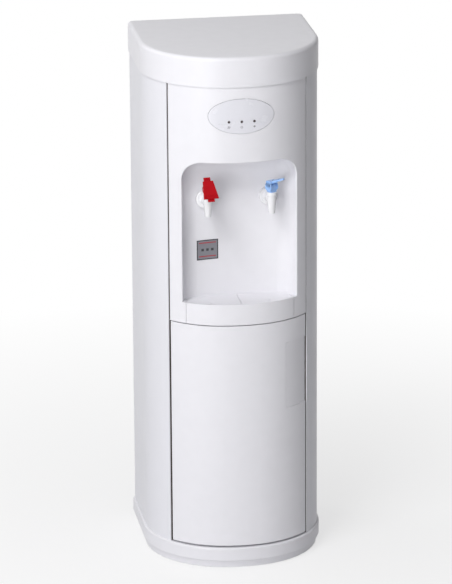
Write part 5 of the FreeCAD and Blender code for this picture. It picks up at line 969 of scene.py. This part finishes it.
@dataclass
class Taps(Assembly):
    """Both taps: turned bodies, a broad paddle on the hot one, a slim arm on the cold one."""

    softened: dict[str, float] = field(default_factory=lambda: {
        "hot_tap_bonnet": 0.4, "cold_tap_bonnet": 0.4})
    as_packed: tuple[str, ...] = ("tap_gaskets", "tap_nuts", "hot_stem", "cold_stem")
    tap_x: float = 63.5
    tap_z: float = 756.0
    flange_back: float = -93.5
    spout_y: float = -137.0
    pivot_z: float = 788.0
    spout_low: float = 733.0
    seat_z: float = 745.0
    bore_r: float = 4.6
    tail_r: float = 8.0
    tail_l: float = 33.5
    thread_pitch: float = 1.8
    thread_deep: float = 0.7
    flange_steps: Outline = ((17.5, 0.0), (17.5, 2.4), (17.1, 3.1), (16.3, 3.5), (13.4, 3.5),
                             (12.9, 3.1), (11.2, 3.1), (9.6, 4.4), (8.5, 7.0), (8.0, 11.0))
    arm_end_r: float = 7.7
    barrel_steps: Outline = ((5.8, 733.0), (6.3, 733.5), (6.9, 741.0), (7.8, 750.0), (8.6, 760.0),
                             (9.0, 768.6), (9.8, 769.4), (9.9, 770.2), (9.9, 775.4), (9.5, 776.5),
                             (8.6, 777.0))
    body_rounds: int = 40
    ear_in: float = 7.3
    ear_out: float = 9.6
    ear_r: float = 6.8
    hole_r: float = 1.55
    ear_rounds: int = 28
    ear_edge: float = 0.4
    hot_turn: float = 8.0
    hot_slope: float = 50.0
    paddle_near: float = 9.3
    paddle_t: float = 3.0
    paddle_up: float = 13.0
    paddle_down: float = 25.5
    paddle_top_half: float = 10.5
    paddle_low_half: float = 15.5
    paddle_edge: float = 1.1
    ribs_from: tuple[float, ...] = (2.6, 6.2)
    rib_in: float = 2.2
    rib_w: float = 1.5
    rib_proud: float = 0.7
    rib_edge: float = 0.4
    overlap: float = 1.0
    web_up: float = 5.8
    web_down: float = 10.8
    web_high: float = 9.9
    web_edge: float = 0.35
    lock_half: float = 6.9
    lock_near: float = 6.8
    lock_t: float = 2.0
    lock_up: float = 22.0
    lock_down: float = 30.5
    lock_edge: float = 0.45
    grips: int = 3
    grip_end: float = 1.8
    grip_pitch: float = 2.2
    grip_in: float = 1.4
    grip_half: float = 0.45
    grip_proud: float = 0.4
    grip_edge: float = 0.2
    cold_turn: float = 32.0
    cold_ear_r: float = 9.2
    bridge_low: float = 6.8
    bridge_t: float = 5.0
    arm_l: float = 36.0
    arm_half: float = 4.5
    arm_tip_half: float = 3.3
    arm_low: float = 7.4
    arm_t: float = 4.2
    arm_deg: float = 24.0
    arm_back: float = 5.8
    arm_edge: float = 0.9
    arm_edge_turn: float = 50.0
    tip_corners: Outline = ((0.0, 2.6), (1.0, 0.8), (2.2, 0.0))
    bridge_edge: float = 1.2
    cheek_edge: float = 0.3

    def _tap_body(self, node: str, x: float) -> None:
        """Turns one body: threaded tail, stepped flange, arm, and tapered barrel with its spout.

        Args:
            node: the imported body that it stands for.
            x: where its tap is.
        """
        valley = self.tail_r - self.thread_deep
        threads = []
        at = -self.tail_l
        while at < -self.thread_pitch:
            threads += [(self.tail_r, at + self.thread_pitch / 4),
                        (valley, at + 0.75 * self.thread_pitch)]
            at += self.thread_pitch
        reach = self.flange_back - self.spout_y
        shaper = Shaper()
        shaper.turned([(0.0, -self.tail_l), (valley, -self.tail_l), *threads, (self.tail_r, 0.0),
                       *self.flange_steps, (self.arm_end_r, reach), (0.0, reach)],
                      self.body_rounds)
        shaper.swung(90, "X").moved((0, reach, self.tap_z))
        shaper.turned([(0.0, self.seat_z), (self.bore_r, self.seat_z),
                       (self.bore_r, self.spout_low), *self.barrel_steps,
                       (0.0, self.barrel_steps[-1][1])], self.body_rounds)
        shaper.moved((x, self.spout_y, 0))
        shaper.piece(node + "_turned", "cabinet", "tap_white", "tap_white", [node])

    def _cheeks(self, shaper: Shaper, radius: float, near: float, far: float, high: float,
                edge: float) -> None:
        """Adds two webs and two ears that are bored for the trunnions.

        Args:
            shaper: the lever, in the pivot's own frame.
            radius: the ears' radius.
            near: where the webs begin along the lever.
            far: where they end.
            high: how high they reach.
            edge: width of their rounded edges.
        """
        ears = Shaper()
        for x0, x1 in ((-self.ear_out, -self.ear_in), (self.ear_in, self.ear_out)):
            shaper.block((x0, near, 0.0), (x1, far, high), edge)
            ears.washer(self.hole_r, radius, x0, x1, self.ear_rounds, edge=self.ear_edge)
        shaper.take(ears.swung(90, "Y"))

    def _hang(self, shaper: Shaper, name: str, node: str, finish: str, x: float,
              turn: float) -> None:
        """Carries a lever's piece from the pivot's own frame onto its tap and ends it."""
        shaper.moved((0, 0, self.pivot_z)).swung(turn, "Z").moved((x, self.spout_y, 0))
        shaper.piece(name, node, finish, finish, [node])

    def _hot_lever(self) -> None:
        """Paddle with a rolled rim and two ribs, webs and cheeks."""
        top, foot = self.paddle_top_half, self.paddle_low_half
        near, high = self.paddle_near, self.paddle_near + self.paddle_t
        paddle = Shaper().plate([(-top, self.paddle_up), (-foot, -self.paddle_down),
                                 (foot, -self.paddle_down), (top, self.paddle_up)], near, high)
        paddle.softened(self.paddle_edge, 3)
        half = foot - self.rib_in
        for start in self.ribs_from:
            along = start - self.paddle_down
            paddle.block((-half, along, high - self.overlap),
                         (half, along + self.rib_w, high + self.rib_proud), self.rib_edge)
        self._cheeks(paddle, self.ear_r, -self.web_down, self.web_up, self.web_high, self.web_edge)
        paddle.swung(self.hot_slope, "X")
        self._hang(paddle, "hot_lever_paddle", "hot_lever", "hot_red", -self.tap_x, self.hot_turn)

    def _hot_lock(self) -> None:
        """Sliding tongue under the paddle, its thumb end ribbed across."""
        near, half = self.lock_near, self.lock_half
        lock = Shaper().block((-half, -self.lock_down, near),
                              (half, self.lock_up, near + self.lock_t), self.lock_edge)
        half -= self.grip_in
        for step in range(self.grips):
            along = self.lock_up - self.grip_end - self.grip_pitch * step
            lock.block((-half, along - self.grip_half, near + self.overlap),
                       (half, along + self.grip_half, near + self.lock_t + self.grip_proud),
                       self.grip_edge)
        lock.swung(self.hot_slope, "X")
        self._hang(lock, "hot_lock_tongue", "hot_lock", "hot_red", -self.tap_x, self.hot_turn)

    def _cold_lever(self) -> None:
        """Cheeks, a bridge over the bonnet and an arm that rises to a rounded tip."""
        reach, tip, low = -self.ear_r, -self.arm_l, self.arm_low
        left = [(-self.arm_half, self.arm_back), (-self.arm_half, reach)]
        left += [(inward - self.arm_tip_half, tip + up) for inward, up in self.tip_corners]
        right = [(-x, y) for x, y in reversed(left)]
        arm = Shaper().plate(left + right, low, low + self.arm_t)
        rise = math.tan(math.radians(self.arm_deg))
        for vert in arm.mesh.verts:
            vert.co.z += max(0.0, reach - vert.co.y) * rise
        arm.softened(self.arm_edge, 2, self.arm_edge_turn)
        arm.block((-self.ear_out, -self.ear_r, self.bridge_low),
                  (self.ear_out, self.ear_r, self.bridge_low + self.bridge_t), self.bridge_edge)
        self._cheeks(arm, self.cold_ear_r, -self.ear_r, self.ear_r,
                     self.bridge_low + self.overlap, self.cheek_edge)
        self._hang(arm, "cold_lever_arm", "cold_lever", "cold_blue", self.tap_x, self.cold_turn)

    def extras(self) -> None:
        """Makes the bodies, the levers and the lock."""
        self._tap_body("hot_tap_body", -self.tap_x)
        self._tap_body("cold_tap_body", self.tap_x)
        self._hot_lever()
        self._hot_lock()
        self._cold_lever()


@dataclass
class DripTray(Assembly):
    """Basin, its two covers, and a small grate in each cover's drain."""

    softened: dict[str, float] = field(default_factory=lambda: {
        "drip_tray": 0.4, "left_tray_cover": 0.3, "right_tray_cover": 0.3})
    drain_x: float = 59.0
    drain_y: float = -137.0
    grate_low: float = 552.2
    grate_high: float = 553.2
    grate_r: float = 3.95
    ring_w: float = 0.8
    ring_edge: float = 0.15
    ring_rounds: int = 28
    bar_w: float = 0.9
    bar_pitch: float = 1.9
    bar_into_ring: float = 0.5
    bar_inset: float = 0.1

    def extras(self) -> None:
        """Adds a ring with three bars to each drain."""
        for body, side in (("left_tray_cover", -1), ("right_tray_cover", 1)):
            grate = Shaper().washer(self.grate_r - self.ring_w, self.grate_r, self.grate_low,
                                    self.grate_high, self.ring_rounds, edge=self.ring_edge)
            bar_r = self.grate_r - self.ring_w + self.bar_into_ring
            for step in (-1, 0, 1):
                across = step * self.bar_pitch
                half = math.sqrt(bar_r ** 2 - across ** 2)
                grate.block(
                    (-half, across - self.bar_w / 2, self.grate_low + self.bar_inset),
                    (half, across + self.bar_w / 2, self.grate_high - self.bar_inset),
                    self.bar_inset)
            grate.moved((side * self.drain_x, self.drain_y, 0))
            grate.piece(body + "_grate", body, "shell_plastic", "shell_plastic")


@dataclass
class Door(Assembly):
    """Lower door with its grip, inner cover, strike and hinges."""

    as_packed: tuple[str, ...] = ("door_panel", "door_grip", "door_liner", "door_strike",
                                  "hinge_bushes", "hinge_pins", "door_catch")


@dataclass
class BottleBay(Assembly):
    """The bay's lining and floor, and the probe that draws from the bottle."""

    as_packed: tuple[str, ...] = ("bay_floor", "bay_liner", "divider_shelf", "bay_inlet",
                                  "probe", "probe_hanger")
    hose_x: float = 99.0
    hose_y: float = 87.0
    hose_low: float = 452.0
    hose_l: float = 44.2
    hose_r: float = 7.0
    hose_valley_r: float = 6.0
    hose_bore_r: float = 4.5
    hose_ribs: int = 7
    rib_shape: Outline = ((0.0, 0.0), (0.3, 0.75), (0.5, 1.0), (0.7, 0.75))
    hose_rounds: int = 36
    probe_rise: float = 22.0

    def extras(self) -> None:
        """Makes the ribbed hose."""
        pitch = self.hose_l / self.hose_ribs
        deep = self.hose_r - self.hose_valley_r
        outer = [(self.hose_valley_r + deep * rise, (rib + share) * pitch)
                 for rib in range(self.hose_ribs) for share, rise in self.rib_shape]
        hose = Shaper().sleeve([*outer, (self.hose_valley_r, self.hose_l),
                                (self.hose_bore_r, self.hose_l), (self.hose_bore_r, 0.0)],
                               self.hose_rounds)
        hose.moved((self.hose_x, self.hose_y, self.hose_low))
        made = hose.piece("probe_hose_ribbed", "cabinet", "hose_plastic", "hose_plastic",
                          ["probe_hose"])
        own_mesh(made)


@dataclass
class Machinery(Assembly):
    """Tanks, cooling circuit and pump behind the panels."""

    as_packed: tuple[str, ...] = (
        "tank_shelf", "cold_tank", "cold_tank_foam", "hot_tank", "hot_tank_jacket", "cold_line",
        "hot_line", "compressor", "compressor_mounts", "condenser", "water_pump", "pump_lines")


@dataclass
class RearFittings(Assembly):
    """Gland, drain outlet with its cap, and the two rocker switches with their marks."""

    softened: dict[str, float] = field(default_factory=lambda: {
        "switch_bezel": 0.3, "rocker_hot": 0.25, "rocker_cold": 0.25})
    as_packed: tuple[str, ...] = ("mains_gland", "drain_spigot", "drain_cap")
    mark_off: float = 6.2
    mark_r: float = 2.3
    mark_w: float = 0.8
    mark_rounds: int = 28
    proud: float = 0.12
    sunk: float = 0.5
    look_from: float = 20.0

    def _mark(self, node: str, ring: bool) -> None:
        """Adds the ON bar or the OFF ring to a rocker, flat on its face.

        Args:
            node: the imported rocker.
            ring: True for the ring, False for the bar.
        """
        low, high = (Vector(corner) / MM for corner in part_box(node))
        x = (low.x + high.x) / 2
        z = (low.z + high.z) / 2 + (-self.mark_off if ring else self.mark_off)
        data = frame["nodes"][node].data
        tree = BVHTree.FromPolygons([vert.co for vert in data.vertices],
                                    [tuple(face.vertices) for face in data.polygons])
        start = Vector((x, high.y + self.look_from, z)) * MM
        spot, normal, _, _ = tree.ray_cast(start, Vector((0, -1, 0)))
        lean = math.degrees(math.atan2(normal.z, normal.y))
        shaper = Shaper()
        if ring:
            shaper.washer(self.mark_r - self.mark_w, self.mark_r, -self.sunk, self.proud,
                          self.mark_rounds)
        else:
            half, far = self.mark_w / 2, self.mark_r
            shaper.plate([(-half, -far), (half, -far), (half, far), (-half, far)],
                         -self.sunk, self.proud)
        shaper.swung(lean - 90, "X").moved(tuple(spot / MM))
        shaper.piece(node + ("_off" if ring else "_on"), self.body_of(node), "mark_white")

    def extras(self) -> None:
        """Marks both rockers."""
        for node in ("rocker_hot", "rocker_cold"):
            self._mark(node, False)
            self._mark(node, True)


# ------------------------------------------------------------------ studio

@dataclass(frozen=True)
class Softbox:
    """A rectangular lamp aimed at a point. Lengths are metres."""

    name: str
    place: Point
    aim: Point
    wide: float
    high: float
    watts: float

    def hang(self) -> None:
        """Puts the lamp in the scene."""
        data = bpy.data.lights.new(self.name, "AREA")
        data.shape = "RECTANGLE"
        data.size = self.wide
        data.size_y = self.high
        data.energy = self.watts
        lamp = placed(self.name, data)
        lamp.location = self.place
        toward = Vector(self.aim) - Vector(self.place)
        lamp.rotation_euler = toward.to_track_quat("-Z", "Y").to_euler()


@dataclass
class Studio:
    """Pale floor, white surroundings, soft lamps and the camera."""

    lamps: tuple[Softbox, ...] = (
        Softbox("front_high", (-1.4, -1.9, 3.3), (0.0, 0.0, 0.7), 1.4, 1.4, 67.7),
        Softbox("front_low", (-1.9, -2.7, 0.6), (0.0, 0.0, 0.45), 1.4, 1.0, 18.2),
        Softbox("front_mid", (-1.4, -2.9, 1.6), (0.0, 0.0, 0.7), 1.2, 1.2, 25.4),
        Softbox("rear_left", (-1.7, 1.1, 2.3), (-0.1, 0.0, 1.0), 1.2, 1.2, 9.7),
    )
    ambient: float = 0.144
    ambient_tint: Colour = (0.97, 0.96, 1.0)
    floor_half: float = 40.0
    floor_cells: int = 8
    floor_fade: float = 1.6
    glow_near: float = 0.65
    glow_rise: float = 0.35
    paper: tuple[Colour, Colour] = ((0.86, 0.86, 0.87), (0.84, 0.84, 0.85))
    paper_grain: float = 30.0
    white: tuple[float, ...] = (1.0, 1.0, 1.0, 1.0)
    azimuth: float = -8.899
    elevation: float = 17.62
    distance: float = 8.4946
    target_x: float = -0.00732
    target_z: float = 0.53096
    roll: float = -0.357
    focal_px: float = 4220.9
    image_w: int = 452
    image_h: int = 584
    sensor: float = 36.0
    clip_near: float = 0.5
    clip_far: float = 200.0

    def _seen(self, recipe: Recipe) -> Wire:
        """Picks the rays that show the background as it is: camera, glossy and transmission.

        Args:
            recipe: where the nodes are laid.

        Returns:
            1 for those rays, 0 for the others.
        """
        rays = [recipe.node("ShaderNodeLightPath", output=name)
                for name in ("Is Camera Ray", "Is Glossy Ray", "Is Transmission Ray")]
        return (rays[0] + rays[1] + rays[2]).at_most(1.0)

    def floor(self) -> None:
        """Lays a floor that goes over into white away from the object and keeps its shadow."""
        recipe = Recipe(bpy.data.materials.new("floor_paper"))
        reach = recipe.node("ShaderNodeVectorMath", {"operation": "LENGTH"},
                            {0: recipe.place()}, "Value")
        away = (reach * (1.0 / self.floor_fade)).at_most(1.0)
        tone = recipe.mix(recipe.noise(self.paper_grain), *self.paper)
        paper = recipe.node("ShaderNodeBsdfDiffuse", None, {"Color": tone})
        glow = recipe.node("ShaderNodeEmission", None, {"Color": self.white, "Strength": 1.0})
        share = self._seen(recipe) * (away * self.glow_rise + self.glow_near)
        both = recipe.node("ShaderNodeMixShader", None, {0: share, 1: paper, 2: glow})
        recipe.node("ShaderNodeOutputMaterial", None, {"Surface": both})
        mesh = bmesh.new()
        bmesh.ops.create_grid(mesh, x_segments=self.floor_cells, y_segments=self.floor_cells,
                              size=self.floor_half)
        data = as_data(mesh, "floor")
        data.materials.append(recipe.owner)
        made = placed("floor", data)

    def surroundings(self) -> None:
        """White to the camera and to mirrors, a soft even light to everything else."""
        world = bpy.data.worlds.new("surroundings")
        bpy.context.scene.world = world
        recipe = Recipe(world)
        white = recipe.node("ShaderNodeBackground", None, {"Color": self.white, "Strength": 1.0})
        light = recipe.node("ShaderNodeBackground", None,
                            {"Color": (*self.ambient_tint, 1.0), "Strength": self.ambient})
        both = recipe.node("ShaderNodeMixShader", None,
                           {0: self._seen(recipe), 1: light, 2: white})
        recipe.node("ShaderNodeOutputWorld", None, {"Surface": both})

    def camera(self) -> None:
        """Stands the camera where the photograph's was."""
        azimuth = math.radians(self.azimuth)
        elevation = math.radians(self.elevation)
        back = Vector((math.sin(azimuth) * math.cos(elevation),
                       -math.cos(azimuth) * math.cos(elevation), math.sin(elevation)))
        right = Vector((math.cos(azimuth), math.sin(azimuth), 0.0))
        up = back.cross(right)
        roll = math.radians(self.roll)
        right, up = (right * math.cos(roll) + up * math.sin(roll),
                     up * math.cos(roll) - right * math.sin(roll))
        data = bpy.data.cameras.new("camera")
        data.sensor_width = self.sensor
        data.lens = self.focal_px * self.sensor / max(self.image_w, self.image_h)
        data.clip_start = self.clip_near
        data.clip_end = self.clip_far
        made = placed("camera", data)
        place = Vector((self.target_x, 0.0, self.target_z)) + back * self.distance
        stance = Matrix((right, up, back)).transposed().to_4x4()
        made.matrix_world = Matrix.Translation(place) @ stance
        bpy.context.scene.camera = made

    def build(self) -> None:
        """Sets the whole studio."""
        bpy.context.scene.view_settings.view_transform = "Standard"
        self.floor()
        self.surroundings()
        for lamp in self.lamps:
            lamp.hang()
        self.camera()


# ------------------------------------------------------------------ putting it together

def main() -> None:
    """Builds every sub-assembly and the studio."""
    logging.basicConfig(level=logging.INFO, format="%(message)s")
    for assembly in (Cabinet(), Fascia(), Badge(), Taps(), DripTray(), Door(), BottleBay(),
                     Machinery(), RearFittings()):
        LOG.info("building %s", type(assembly).__name__)
        assembly.build()
    Studio().build()


if __name__ == "__main__":
    main()
